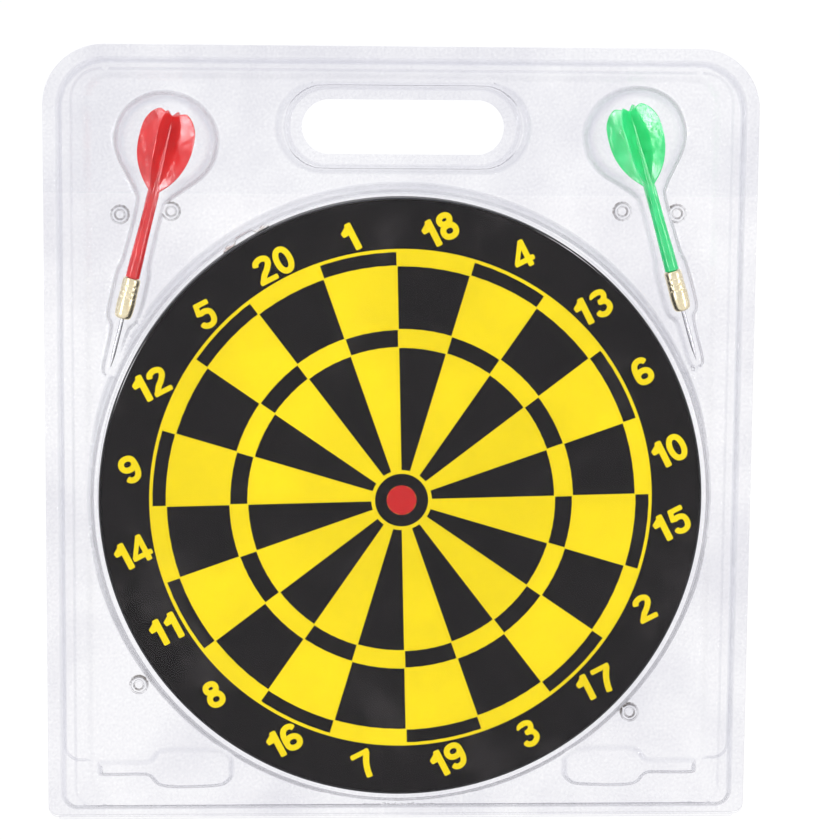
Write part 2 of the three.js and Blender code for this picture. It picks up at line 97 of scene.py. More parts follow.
CASE = (rear_high.x / MM, (rear_high.z - CENTRE.z) / MM, (FOLD.z - CENTRE.z) / MM, 30, 5)
FRONT_BOTTOM = (min(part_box(node)[0].z for node in FRONT_NODES) - CENTRE.z) / MM
FRONT_OUTLINE = (*CASE[:2], FRONT_BOTTOM, *CASE[3:])

# Outlines of the rim: half width, top, bottom, radius of the top and of the bottom corners.
RIM = (171, 218.2, -161, 25, 9)
RIM_STEP = (161.8, 210.8, -156.5, 14, 8)
RIM_INSIDE = (152.8, 205.7, -151.8, 9, 8)
RIM_HEIGHT = 7
RIM_STEP_HEIGHT = 4
RIM_INSET = 3.5
RIM_STEP_FLARE = 1.2
RIM_INSIDE_FLARE = 3.4
REAR_RIM_END = -138

SLOT_V = 184
SLOT = (100, 27)
BEAD_OUTER = (128, 47)
BEAD_INNER = (111, 36)
BEAD_HEIGHT = 4.5
BEAD_INSET = 2.6
BEAD_FLARE = 1.6

BOARD_RADIUS = (band_high.x - band_low.x) / 2 / MM
BOARD_FRONT = -band_low.y / MM
BOARD_BACK = -band_high.y / MM
BAND_THICKNESS = 0.8
SEAM = 0.3
FACE_RADIUS = BOARD_RADIUS - BAND_THICKNESS - SEAM

POCKET_TOP = BOARD_FRONT + 0.6 + SHEET
POCKET_WALL = [
    (0, POCKET_TOP), (151.6, POCKET_TOP), (152.7, POCKET_TOP - 0.5), (153.3, POCKET_TOP - 1.6),
    (154.1, 10.4), (155.0, 9.6), (157.8, FRONT_LEVEL), (161.8, -9.3),
]
RECESS_FLOOR = BOARD_BACK - 0.6
RECESS_WALL = [(0, RECESS_FLOOR), (BOARD_RADIUS + 0.7, RECESS_FLOOR), (BOARD_RADIUS + 1.9, 10)]

DART_W = -joints["red_dart_roll"]["pos_m"][1] / MM
DARTS = {
    "red": {"joint": "red_dart_roll", "body": "red_dart", "roll": 21},
    "green": {"joint": "green_dart_roll", "body": "green_dart", "roll": 28},
}
# Half width of a dart's pocket along the dart, measured from the point.
POCKET_PROFILE = [
    (-3.4, 1.8), (0, 3.4), (20, 4.2), (27, 7.6), (47, 7.9), (56, 6.6), (82, 6.4), (88, 8.4),
    (95, 14.2), (102, 20.4), (109, 24.0), (116, 25.0), (124, 23.8), (131, 19.6), (136.5, 12.6),
    (139, 5.5), (139.6, 0),
]
POCKET_FLATTEN = 0.76
POCKET_FLARE = 1.2
BULB_START = 84.9
BULB_OPENING = 2.42  # how fast the rear bulb widens from its start

STUDS = [
    (-139.3, 140.3), (-114.2, 142.0), (109.2, 143.2), (136.6, 142.3), (-131.1, -96.2),
    (117.4, -111.2),
]
STUD_RADIUS = 4.8
STUD_HEIGHT = 3.6
# Rings (inner and outer radius) round each stud where the front sheet gets painted shade.
STUD_SHADE_RINGS = [(1.9, 2.1), (4.35, 4.85)]
REAR_STUD_RADIUS = 3.3
REAR_STUD_HEIGHT = 2.8
STUD_SLOPE = 12
DIMPLE_RADIUS = 1.9
DIMPLE_DEPTH = 1.5
DIMPLE_SLOPE = 5

SPARE_PROFILE = [
    (0, 4.2), (3, 8.4), (9, 10.6), (30, 11.2), (39, 9.6), (43, 5.4), (47, 4.6), (68, 4.4),
]
SPARE_NOSE = 83
SPARE_V = -139
SPARE_HEIGHT = 7
SPARE_INSET = 2.6
SPARE_CROWN = 0.012


def place(u, v, w):
    """Metres in the frame from millimetres in the board's plane."""
    return np.stack(np.broadcast_arrays(u * MM, -w * MM, CENTRE.z + v * MM), axis=-1)


# ---- materials --------------------------------------------------------------------------------


class Shade:
    """A material's node tree, with short ways to add nodes and join them."""

    def __init__(self, name):
        self.material = bpy.data.materials.new(name)
        self.material.use_nodes = True
        self.tree = self.material.node_tree
        self.tree.nodes.clear()
        self.output = self.tree.nodes.new("ShaderNodeOutputMaterial")

    def node(self, kind, inputs=None, **settings):
        made = self.tree.nodes.new("ShaderNode" + kind)
        for key, value in settings.items():
            setattr(made, key, value)
        for key, value in (inputs or {}).items():
            if isinstance(value, bpy.types.NodeSocket):
                self.tree.links.new(value, made.inputs[key])
            else:
                made.inputs[key].default_value = value
        return made

    def noise(self, scale, detail=3.0, roughness=0.5, distortion=0.0):
        coordinates = self.node("TexCoord").outputs["Object"]
        inputs = {
            "Vector": coordinates, "Scale": scale, "Detail": detail, "Roughness": roughness,
            "Distortion": distortion,
        }
        return self.node("TexNoise", inputs).outputs["Fac"]

    def remap(self, value, low, high, to_low=0.0, to_high=1.0):
        inputs = {0: value, 1: low, 2: high, 3: to_low, 4: to_high}
        return self.node("MapRange", inputs).outputs[0]

    def mix(self, factor, a, b):
        made = self.node("Mix", {"Factor": factor}, data_type="RGBA")
        for socket, value in ((made.inputs[6], a), (made.inputs[7], b)):
            if isinstance(value, bpy.types.NodeSocket):
                self.tree.links.new(value, socket)
            else:
                socket.default_value = (*value, 1)
        return made.outputs[2]

    def bump(self, height, strength, distance):
        inputs = {"Height": height, "Strength": strength, "Distance": distance}
        return self.node("Bump", inputs).outputs["Normal"]

    def blend(self, share, a, b):
        """A mix of two shader nodes."""
        return self.node("MixShader", {0: share, 1: a.outputs[0], 2: b.outputs[0]})

    def principled(self, inputs):
        shader = self.node("BsdfPrincipled", inputs)
        self.tree.links.new(shader.outputs[0], self.output.inputs["Surface"])
        return self.material


def clear_sheet(name, cloudy, clean):
    """Thin clear plastic, a little cloudier in places and milky where it is steep. Its tint is painted
    shade: darker where the sheet is steep and grey where it is seen edge-on, as refraction darkens it."""
    shade = Shade(name)
    normal = shade.bump(shade.noise(55, 2.0), 0.25, 0.004)
    facing = shade.node("LayerWeight", {"Blend": 0.5, "Normal": normal}).outputs["Facing"]
    # Painted shade: masks for where the tint goes darker on steep walls and grey where seen edge-on.
    steep = shade.remap(facing, 0.28, 1.0)
    edge_on_shade = shade.remap(facing, 0.68, 0.92)
    speckle = shade.remap(shade.noise(700, 3.0, 0.7), 0.42, 0.62, 0.0, 0.45)
    patches = shade.remap(shade.noise(11, 3.0, 0.6), 0.38, 0.60, 0.0, 0.55)
    blotches = shade.node("Math", {0: speckle, 1: patches}, operation="ADD").outputs[0]
    tint = shade.mix(blotches, cloudy, clean)
    # Painted shade colours for steep and edge-on places, standing in for the darkening refraction gives.
    tint = shade.mix(steep, tint, (0.80, 0.802, 0.842))
    tint = shade.mix(edge_on_shade, tint, (0.46, 0.45, 0.47))
    through = shade.node("BsdfTransparent", {"Color": tint})
    gloss = shade.node("BsdfGlossy", {"Color": (1, 1, 1, 1), "Roughness": 0.09, "Normal": normal})
    grazing = shade.node("Math", {0: facing, 1: 3.0}, operation="POWER").outputs[0]
    share = shade.remap(grazing, 0.0, 1.0, 0.006, 0.36)
    glazed = shade.blend(share, through, gloss)
    front = shade.node("BsdfDiffuse", {"Color": (0.90, 0.90, 0.92, 1)})
    back = shade.node("BsdfTranslucent", {"Color": (0.93, 0.93, 0.95, 1)})
    milk = shade.blend(0.5, front, back)
    haze = shade.remap(facing, 0.48, 0.85, 0.0, 0.24)
    mixed = shade.blend(haze, glazed, milk)
    shade.tree.links.new(mixed.outputs[0], shade.output.inputs["Surface"])
    return shade.material


def printed_paper(name, ink, depth, scuff, scuff_share):
    """Matte flocked paper: the ink varies softly, with a fine nap and a few pale rubbed places."""
    shade = Shade(name)
    soft = shade.noise(22, 4.0, 0.6)
    rubbed = shade.remap(shade.noise(14, 7.0, 0.7, 0.5), 0.54, 0.80, 0.0, scuff_share)
    nap = shade.noise(2600, 2.0)
    deep = tuple(channel * depth for channel in ink)
    mottle = shade.noise(160, 5.0, 0.75)
    colour = shade.mix(shade.remap(mottle, 0.35, 0.65), deep, ink)
    colour = shade.mix(rubbed, colour, scuff)
    rough = shade.remap(soft, 0.3, 0.7, 0.62, 0.8)
    normal = shade.bump(nap, 0.35, 0.0002)
    return shade.principled({
        "Base Color": colour, "Roughness": rough, "Normal": normal, "Specular IOR Level": 0.14,
    })


def moulded_plastic(name, colour, deep):
    """Glossy moulded plastic that light enters a little way."""
    shade = Shade(name)
    flow = shade.noise(160, 3.0, 0.5, 0.6)
    tone = shade.mix(shade.remap(flow, 0.3, 0.7), deep, colour)
    rough = shade.remap(flow, 0.3, 0.7, 0.12, 0.22)
    normal = shade.bump(shade.noise(190, 2.0), 0.2, 0.0016)
    return shade.principled({
        "Base Color": tone, "Roughness": rough, "Normal": normal, "Specular IOR Level": 0.7,
        "Coat Weight": 0.45, "Coat Roughness": 0.05,
    })


def polished_metal(name, colour, tarnish, low, high, scratch):
    """Turned metal, duller and darker in places, with fine marks."""
    shade = Shade(name)
    patches = shade.noise(190, 4.0, 0.6)
    marks = shade.noise(1500, 3.0, 0.6)
    tone = shade.mix(shade.remap(patches, 0.45, 0.75, 0.0, 0.6), colour, tarnish)
    rough = shade.remap(patches, 0.3, 0.7, low, high)
    normal = shade.bump(marks, scratch, 0.0002)
    return shade.principled({
        "Base Color": tone, "Roughness": rough, "Metallic": 1.0, "Normal": normal,
    })


def rolled_paper():
    """The end of a tight paper roll: fine rings about the board's axis."""
    shade = Shade("rolled_paper")
    coordinates = shade.node("TexCoord").outputs["Object"]
    centre = (-CENTRE.x, -CENTRE.y, -CENTRE.z)
    moved = shade.node("Mapping", {"Vector": coordinates, "Location": centre}).outputs[0]
    inputs = {"Vector": moved, "Scale": 420, "Distortion": 0.8, "Detail": 2.0}
    rings = shade.node(
        "TexWave", inputs, wave_type="RINGS", rings_direction="Y"
    ).outputs["Fac"]
    tone = shade.mix(rings, (0.40, 0.30, 0.18), (0.60, 0.48, 0.31))
    normal = shade.bump(rings, 0.3, 0.0003)
    return shade.principled({"Base Color": tone, "Roughness": 0.9, "Normal": normal})


def edge_strip():
    """Black satin tape round the rim, a little creased."""
    shade = Shade("edge_strip")
    creases = shade.noise(120, 5.0, 0.65, 0.8)
    tone = shade.mix(
        shade.remap(creases, 0.55, 0.8, 0.0, 0.5), (0.016, 0.016, 0.018), (0.08, 0.08, 0.082)
    )
    rough = shade.remap(creases, 0.3, 0.7, 0.36, 0.55)
    normal = shade.bump(creases, 0.3, 0.0006)
    return shade.principled({"Base Color": tone, "Roughness": rough, "Normal": normal})


CLEAR = clear_sheet("clear_sheet", (0.934, 0.932, 0.947), (0.990, 0.989, 0.993))
# A dark clear sheet, used only as painted shade: thin dark rings round the snap studs.
CLEAR_PAINTED_SHADE = clear_sheet("clear_painted_shade", (0.34, 0.32, 0.31), (0.52, 0.50, 0.49))
BLACK = printed_paper("black_print", (0.0120, 0.0100, 0.0104), 0.4, (0.09, 0.082, 0.08), 0.55)
YELLOW = printed_paper("yellow_print", (0.985, 0.765, 0.006), 0.95, (0.93, 0.70, 0.1), 0.10)
RED_INK = printed_paper("red_print", (0.66, 0.028, 0.026), 0.85, (0.5, 0.1, 0.09), 0.3)
RED_PLASTIC = moulded_plastic("red_plastic", (0.80, 0.016, 0.015), (0.62, 0.008, 0.008))
GREEN_PLASTIC = moulded_plastic("green_plastic", (0.035, 0.80, 0.25), (0.015, 0.62, 0.16))
BRASS = polished_metal("brass", (0.99, 0.89, 0.60), (0.84, 0.68, 0.36), 0.20, 0.30, 0.04)
STEEL = polished_metal("steel", (0.72, 0.72, 0.74), (0.42, 0.41, 0.40), 0.16, 0.30, 0.08)
PLATED = polished_metal("plated_steel", (0.88, 0.86, 0.82), (0.42, 0.32, 0.24), 0.14, 0.32, 0.15)
CORE = rolled_paper()
BAND = edge_strip()


# ---- meshes -----------------------------------------------------------------------------------


def piece(name, vertices, faces, materials, slot=None, matrix=None, smooth=True):
    """A mesh object in the scene. vertices are in metres."""
    mesh = bpy.data.meshes.new(name)
    mesh.from_pydata([tuple(map(float, v)) for v in vertices], [], [tuple(f) for f in faces])
    for material in materials if isinstance(materials, (list, tuple)) else [materials]:
        mesh.materials.append(material)
    mesh.polygons.foreach_set("use_smooth", [smooth] * len(mesh.polygons))
    if matrix is not None:
        mesh.transform(matrix)
    mesh.update()
    made = bpy.data.objects.new(name, mesh)
    bpy.context.scene.collection.objects.link(made)
    return made


def sharpen(made, degrees):
    """Marks the edges that turn by more than this angle as sharp."""
    made.data.set_sharp_from_angle(angle=math.radians(degrees))


def grid_faces(rows, columns, wrap):
    """Quads over rows of vertices; wrap joins the last column to the first."""
    faces = []
    for low in range(0, (rows - 1) * columns, columns):
        for j in range(columns if wrap else columns - 1):
            k = (j + 1) % columns
            faces.append((low + j, low + k, low + columns + k, low + columns + j))
    return faces


def tube_faces(rows, count):
    """The sides and the two ends of a tube of vertices, `count` to a ring."""
    last = (rows - 1) * count
    ends = [tuple(reversed(range(count))), tuple(range(last, last + count))]
    return grid_faces(rows, count, True) + ends


def backwards(faces):
    """The same faces, looking the other way."""
    return [tuple(reversed(face)) for face in faces]


def thicken(made, millimetres):
    """Gives a surface thickness behind the way it looks."""
    thickness = made.modifiers.new("thickness", "SOLIDIFY")
    thickness.thickness = millimetres * MM
    thickness.offset = -1


def joined(parts):
    """(vertices, faces) of several meshes as one."""
    vertices, faces = [], []
    for part_vertices, part_faces in parts:
        first = sum(len(block) for block in vertices)
        faces += [tuple(first + i for i in face) for face in part_faces]
        vertices.append(part_vertices)
    return np.concatenate(vertices), faces


def angles_round(count):
    return np.linspace(0, 2 * math.pi, count, endpoint=False)


def smooth_max(a, b, blend):
    return np.maximum(a, b) + np.maximum(blend - np.abs(a - b), 0) ** 2 / (4 * blend)


def smooth_min(a, b, blend):
    return -smooth_max(-a, -b, blend)


def softened(points, spread):
    """A profile as a function, its corners rounded over about `spread`."""
    xs, ys = np.array(points, float).T
    step = 0.05
    fine = np.arange(xs[0] - 20, xs[-1], step)
    reach = np.arange(-3 * spread, 3 * spread + step, step)
    kernel = np.exp(-((reach / spread) ** 2))
    values = np.convolve(np.interp(fine, xs, ys), kernel / kernel.sum(), "same")
    return lambda x: np.interp(x, fine, values)


# ---- the case's two sheets --------------------------------------------------------------------


def rect_distance(u, v, outline, shrink=0.0):
    """Signed distance to a rounded rectangle, negative inside, `shrink` smaller all round."""
    half, top, bottom, top_radius, bottom_radius = outline
    half, top, bottom = half - shrink, top - shrink, bottom + shrink
    middle = (top + bottom) / 2
    radius = np.where(v > middle, top_radius, bottom_radius)
    x = np.abs(u) - (half - radius)
    y = np.abs(v - middle) - ((top - bottom) / 2 - radius)
    outside = np.hypot(np.maximum(x, 0), np.maximum(y, 0))
    return outside + np.minimum(np.maximum(x, y), 0) - radius


def stadium_distance(u, v, size):
    length, height = size
    x = np.maximum(np.abs(u) - (length - height) / 2, 0)
    return np.hypot(x, v - SLOT_V) - height / 2


def rim_height(u, v, level, shrink, end=None):
    """The raised rim with its inner step. `end` leaves it out below that height."""
    outer, step, inside = RIM, RIM_STEP, RIM_INSIDE
    if end is not None:
        outer = (*RIM[:2], end - shrink, *RIM[3:])
        step = (*RIM_STEP[:2], end - 60, *RIM_STEP[3:])
        inside = (*RIM_INSIDE[:2], end - 60, *RIM_INSIDE[3:])
    wall = level - rect_distance(u, v, outer, shrink) * RIM_HEIGHT / RIM_INSET
    raised = smooth_min(wall, level + RIM_HEIGHT, 1.2)
    slope = (RIM_HEIGHT - RIM_STEP_HEIGHT) / RIM_STEP_FLARE
    to_step = level + RIM_STEP_HEIGHT + (rect_distance(u, v, step) - shrink) * slope
    to_floor = level + (rect_distance(u, v, inside) - shrink) * RIM_STEP_HEIGHT / RIM_INSIDE_FLARE
    stepped = smooth_min(raised, smooth_max(to_step, level + RIM_STEP_HEIGHT, 1.0), 1.0)
    return smooth_min(stepped, to_floor, 1.0)


def bead_height(u, v, level, shrink):
    """The raised bead round the hand slot."""
    wall = level - (stadium_distance(u, v, BEAD_OUTER) + shrink) * BEAD_HEIGHT / BEAD_INSET
    well = level + (stadium_distance(u, v, BEAD_INNER) - shrink) * BEAD_HEIGHT / BEAD_FLARE
    return smooth_min(smooth_min(wall, level + BEAD_HEIGHT, 1.0), well, 1.0)


def dart_axes(dart):
    """A dart's point and direction in the board's plane."""
    joint = joints[dart["joint"]]
    tip = np.array([joint["pos_m"][0] / MM, (joint["pos_m"][2] - CENTRE.z) / MM])
    return tip, np.array([joint["axis"][0], joint["axis"][2]])


def along_across(u, v, dart):
    tip, axis = dart_axes(dart)
    du, dv = u - tip[0], v - tip[1]
    return du * axis[0] + dv * axis[1], du * axis[1] - dv * axis[0]


def spline(points, steps):
    """Catmull-Rom curve through the points."""
    points = np.array(points, float)
    padded = np.vstack([2 * points[0] - points[1], points, 2 * points[-1] - points[-2]])
    curve = []
    for i in range(1, len(padded) - 2):
        p0, p1, p2, p3 = padded[i - 1 : i + 3]
        for t in np.linspace(0, 1, steps, endpoint=False):
            curve.append(
                0.5 * (2 * p1 + (p2 - p0) * t + (2 * p0 - 5 * p1 + 4 * p2 - p3) * t**2
                       + (3 * p1 - 3 * p2 + p3 - p0) * t**3)
            )
    curve.append(points[-1])
    return np.array(curve)


def resampled(curve, spacing):
    """Points every `spacing` or so along a curve, its ends kept."""
    lengths = np.concatenate([[0], np.cumsum(np.hypot(*np.diff(curve, axis=0).T))])
    marks = np.linspace(0, lengths[-1], max(int(lengths[-1] / spacing), 2) + 1)
    return np.stack([np.interp(marks, lengths, curve[:, k]) for k in (0, 1)], axis=1)


def profile_curve(profile, spacing):
    """A half-width profile as a smooth curve that never runs backwards."""
    curve = spline(profile, 10)
    curve[:, 0] = np.maximum.accumulate(curve[:, 0])
    curve[:, 1] = np.maximum(curve[:, 1], 0)
    return resampled(curve, spacing)


POCKET_CURVE = profile_curve(POCKET_PROFILE, 1.5)
SPARE_CURVE = profile_curve([(-0.01, 0), *SPARE_PROFILE, (68.01, 0)], 1.5)


def path_distance(points, path):
    """Distance from each point to a path of straight stretches."""
    best = np.full(len(points), 1e9)
    for a, b in zip(path[:-1], path[1:]):
        edge = b - a
        size = edge @ edge
        if size < 1e-9:
            continue
        t = np.clip(((points - a) @ edge) / size, 0, 1)
        best = np.minimum(best, np.hypot(*(points - a - t[:, None] * edge).T))
    return best


def width_at(along, curve):
    return np.interp(along, curve[:, 0], curve[:, 1], left=0, right=0)


def curve_distance(along, across, curve):
    """Signed distance to the outline that a half-width curve draws, negative inside."""
    across = np.abs(across)
    distance = path_distance(np.stack([along, across], axis=-1), curve)
    return np.where(across < width_at(along, curve), -distance, distance)


def near(values, mask, make, far):
    """make(mask) where the mask holds, and `far` elsewhere."""
    result = np.full(len(values), far, float)
    if mask.any():
        result[mask] = make(mask)
    return result


def pocket_height(u, v, dart):
    """The front sheet over a dart: a flattened round body on a flared foot."""
    along, across = along_across(u, v, dart)
    mask = (along > -15) & (along < 152) & (np.abs(across) < 38)

    def height(at):
        s, t = along[at], np.abs(across[at])
        width = width_at(s, POCKET_CURVE)
        body = DART_W + POCKET_FLATTEN * np.sqrt(np.maximum(width**2 - t**2, 0))
        foot = DART_W - curve_distance(s, t, POCKET_CURVE) * (DART_W - FRONT_LEVEL) / POCKET_FLARE
        return np.where(t < width, body, foot)

    return near(u, mask, height, -99)


def bulb_depth(u, v, dart):
    """The rear sheet behind a dart's flight."""
    along, across = along_across(u, v, dart)
    mask = (along > BULB_START) & (along < 142) & (np.abs(across) < 30)

    def height(at):
        s, t = along[at], np.abs(across[at])
        width = np.minimum(width_at(s, POCKET_CURVE) - WALL, (s - BULB_START) * BULB_OPENING)
        width = np.maximum(width, 0)
        return DART_W - POCKET_FLATTEN * np.sqrt(np.maximum(width**2 - t**2, 0))

    return near(u, mask, height, 99)


def spare_axes(u, v, side):
    return side * u - SPARE_NOSE, v - SPARE_V


def spare_height(u, v, side):
    """One empty spare-part pocket."""
    along, across = spare_axes(u, v, side)
    mask = (along > -12) & (along < 80) & (np.abs(across) < 24)

    def height(at):
        out = curve_distance(along[at], across[at], SPARE_CURVE)
        wall = FRONT_LEVEL - out * SPARE_HEIGHT / SPARE_INSET
        crown = FRONT_LEVEL + SPARE_HEIGHT - SPARE_CROWN * across[at] ** 2
        return smooth_min(wall, crown, 2.4)

    return near(u, mask, height, -99)


def stud_height(u, v, place_uv, level, radius, height, dimple):
    """A snap stud, with a dimple in its middle if it has one."""
    r = np.hypot(u - place_uv[0], v - place_uv[1])
    cap = smooth_min(level + (radius - r) * STUD_SLOPE, level + height, 0.7)
    if not dimple:
        return cap
    floor = level + height - DIMPLE_DEPTH
    return smooth_min(cap, floor + np.maximum(r - DIMPLE_RADIUS, 0) * DIMPLE_SLOPE, 0.4)


WALL_OF_POCKET = softened(POCKET_WALL, 0.55)
WALL_OF_RECESS = softened(RECESS_WALL, 0.4)


def front_height(u, v):
    """Front surface of the front sheet."""
    height = smooth_max(np.full(len(u), FRONT_LEVEL), rim_height(u, v, FRONT_LEVEL, 0), 1.4)
    height = smooth_max(height, bead_height(u, v, FRONT_LEVEL, 0), 1.2)
    for side in (-1, 1):
        height = smooth_max(height, spare_height(u, v, side), 1.4)
    height = smooth_max(height, WALL_OF_POCKET(np.hypot(u, v)), 1.6)
    for dart in DARTS.values():
        height = smooth_max(height, pocket_height(u, v, dart), 1.6)
    for stud in STUDS:
        height = smooth_max(
            height, stud_height(u, v, stud, FRONT_LEVEL, STUD_RADIUS, STUD_HEIGHT, True), 0.7
        )
    return height


def rear_height(u, v):
    """Front surface of the rear sheet."""
    rim = rim_height(u, v, REAR_LEVEL, NEST, REAR_RIM_END + NEST)
    height = smooth_max(np.full(len(u), REAR_LEVEL), rim, 1.4)
    height = smooth_max(height, bead_height(u, v, REAR_LEVEL - NEST + SHEET, NEST), 1.0)
    for stud in STUDS:
        height = smooth_max(
            height,
            stud_height(u, v, stud, REAR_LEVEL, REAR_STUD_RADIUS, REAR_STUD_HEIGHT, False), 0.7
        )
    height = smooth_min(height, WALL_OF_RECESS(np.hypot(u, v)), 0.8)
    for dart in DARTS.values():
        height = smooth_min(height, bulb_depth(u, v, dart), 1.6)
    return height


def rect_columns(outline, spacing, corner_steps):
    """Points on a rounded rectangle and the way out at each. Along its straight sides they stand at
    whole multiples of the spacing, so that the rings of neighbouring outlines line up."""
    half, top, bottom, top_radius, bottom_radius = outline
    corners = [
        (half - top_radius, top - top_radius, top_radius, 0),
        (-half + top_radius, top - top_radius, top_radius, 90),
        (-half + bottom_radius, bottom + bottom_radius, bottom_radius, 180),
        (half - bottom_radius, bottom + bottom_radius, bottom_radius, 270),
    ]
    points, normals = [], []
    for k, (cu, cv, radius, start) in enumerate(corners):
        for i in range(corner_steps + 1):
            angle = math.radians(start + 90 * i / corner_steps)
            way = np.array([math.cos(angle), math.sin(angle)])
            points.append(np.array([cu, cv]) + radius * way)
            normals.append(way)
        next_u, next_v, next_radius, _ = corners[(k + 1) % 4]
        goal = np.array([next_u, next_v]) + next_radius * way
        last = points[-1]
        axis = 0 if abs(way[1]) > 0.5 else 1
        low, high = sorted((last[axis], goal[axis]))
        marks = np.arange(math.ceil(low / spacing + 0.3), high / spacing - 0.3) * spacing
        for mark in marks if goal[axis] > last[axis] else marks[::-1]:
            between = last.copy()
            between[axis] = mark
            points.append(between)
            normals.append(way)
    return np.array(points), np.array(normals)


def stadium_columns(size, spacing):
    length, height = size
    outline = (length / 2, SLOT_V + height / 2, SLOT_V - height / 2, height / 2, height / 2)
    return rect_columns(outline, spacing, 16)


def curve_columns(curve):
    """Both sides of the outline that a half-width curve draws, and the way out at each point."""
    both = np.vstack([curve, (curve * (1, -1))[-2:0:-1]])
    tangent = np.roll(both, -1, axis=0) - np.roll(both, 1, axis=0)
    normal = np.stack([-tangent[:, 1], tangent[:, 0]], axis=1)
    normal /= np.maximum(np.hypot(*normal.T), 1e-9)[:, None]
    outward = np.sign((normal * (0, 1) * both).sum(1))
    return both, normal * np.where(outward == 0, 1, outward)[:, None]


def rings(columns, offsets):
    points, normals = columns
    return np.concatenate([points + normals * offset for offset in offsets])


def circles(centre, radii, count):
    angles = angles_round(count)
    way = np.stack([np.cos(angles), np.sin(angles)], axis=1)
    return np.concatenate([np.array(centre) + way * radius for radius in radii])


def on_dart(points, dart):
    """(along, across) points as (u, v)."""
    tip, axis = dart_axes(dart)
    side = np.array([axis[1], -axis[0]])
    return tip + points[:, :1] * axis + points[:, 1:] * side


def pocket_points(dart):
    """Points over a dart's pocket: rings down its foot and lines over its body."""
    columns = curve_columns(POCKET_CURVE)
    foot = rings(columns, [-0.12, 0.1, 0.35, 0.65, 0.95, 1.25, 1.6, 2.1, 2.8])
    turns = np.radians([-84, -77, -68, -57, -45, -32, -19, -6, 6, 19, 32, 45, 57, 68, 77, 84])
    body = [
        np.stack([POCKET_CURVE[:, 0], POCKET_CURVE[:, 1] * math.sin(turn)], axis=1) for turn in turns
    ]
    return on_dart(np.concatenate([foot, *body]), dart)


def spare_points(side):
    columns = curve_columns(SPARE_CURVE)
    offsets = [2.2, 1.5, 0.9, 0.4, -0.1, -0.6, -1.1, -1.6, -2.1, -2.6, -3.2, -4.0]
    ring = rings(columns, offsets)
    middle = np.array([(a, b) for a in np.arange(6, 64, 2.0) for b in np.arange(-6, 6.1, 2.0)])
    points = np.concatenate([ring, middle])
    return np.stack([side * (points[:, 0] + SPARE_NOSE), points[:, 1] + SPARE_V], axis=1)


class Points:
    """Points for one sheet. A point too close to an earlier one is left out."""

    def __init__(self, height):
        self.height = height
        self.kept = []
        self.cells = {}

    def add(self, points, gap=0.25, own=None):
        """own(u, v) is the shape that the points are for; they are left out where it is buried."""
        if own is not None:
            u, v = points.T
            points = points[np.abs(own(u, v) - self.height(u, v)) < 1.6]
        size = 0.3
        reach = int(math.ceil(gap / size))
        for p in points:
            i, j = int(p[0] // size), int(p[1] // size)
            if any(
                np.hypot(*(p - other)) < gap
                for a in range(i - reach, i + reach + 1)
                for b in range(j - reach, j + reach + 1)
                for other in self.cells.get((a, b), ())
            ):
                continue
            self.cells.setdefault((i, j), []).append(p)
            self.kept.append(p)


def formed_sheet(name, points, height, outline):
    """The sheet through the points, cut to its outline and the hand slot, with its thickness."""
    flat = [Vector(p) for p in points]
    vertices, _, faces = delaunay_2d_cdt(flat, [], [], 0, 1e-4)[:3]
    uv = np.array([(p.x, p.y) for p in vertices])
    faces = np.array(faces)
    middle = uv[faces].mean(axis=1)
    keep = rect_distance(middle[:, 0], middle[:, 1], outline) < 0
    keep &= stadium_distance(middle[:, 0], middle[:, 1], SLOT) > 0
    u, v = uv.T
    w = height(u, v) + ripple(u, v)
    made = piece(name, place(u, v, w), faces[keep].tolist(), [CLEAR, CLEAR_PAINTED_SHADE], "clear_sheet")
    # The faces round the studs take the second, dark material: painted shade for the dark rings there.
    grey = edge_of_stud(middle[keep], height(*middle[keep].T))
    made.data.polygons.foreach_set("material_index", grey.astype(int))
    if len(np.unique(faces[keep])) < len(vertices):
        raise ValueError(f"{name} has loose vertices")
    thicken(made, SHEET)
    return made


def edge_of_stud(points, height):
    """Faces that get painted shade: where the front sheet turns up sharply into a snap stud, and round
    the dimple on its top.
    """
    found = np.zeros(len(points), bool)
    u, v = points.T
    for stud in STUDS:
        r = np.hypot(*(points - stud).T)
        own = stud_height(u, v, stud, FRONT_LEVEL, STUD_RADIUS, STUD_HEIGHT, True)
        standing = np.abs(height - np.maximum(own, FRONT_LEVEL)) < 0.6
        for low, high in STUD_SHADE_RINGS:
            found |= standing & (r > low) & (r < high)
    return found


def ripple(u, v):
    """The slight unevenness of a formed sheet, in millimetres."""
    slow = np.sin(u / 23 + 1.3 * np.sin(v / 37)) * np.cos(v / 29 + 0.9 * np.sin(u / 41))
    quick = np.sin(u / 9.5 + v / 13 + 2.1) * np.sin(v / 11 - u / 17)
    return 0.055 * slow + 0.018 * quick - 0.05


def lattice(outline, spacing):
    half, top, bottom = outline[:3]
    rows = np.arange(bottom, top, spacing * 0.866)
    columns = np.arange(-half, half, spacing)
    points = [(c + (i % 2) * spacing / 2, r) for i, r in enumerate(rows) for c in columns]
    points = np.array(points)
    inside = rect_distance(points[:, 0], points[:, 1], outline) < -1.5
    inside &= stadium_distance(points[:, 0], points[:, 1], SLOT) > 1.5
    return points[inside]


COLUMN = 3  # spacing of the sheets' points along the straight sides


def edge_points(points, outline):
    """The cut edges: the outline and the hand slot."""
    points.add(rings(rect_columns(outline, COLUMN, 16), [0, -0.6, -1.6]))
    points.add(rings(stadium_columns(SLOT, COLUMN), [0, 0.6, 1.6]))


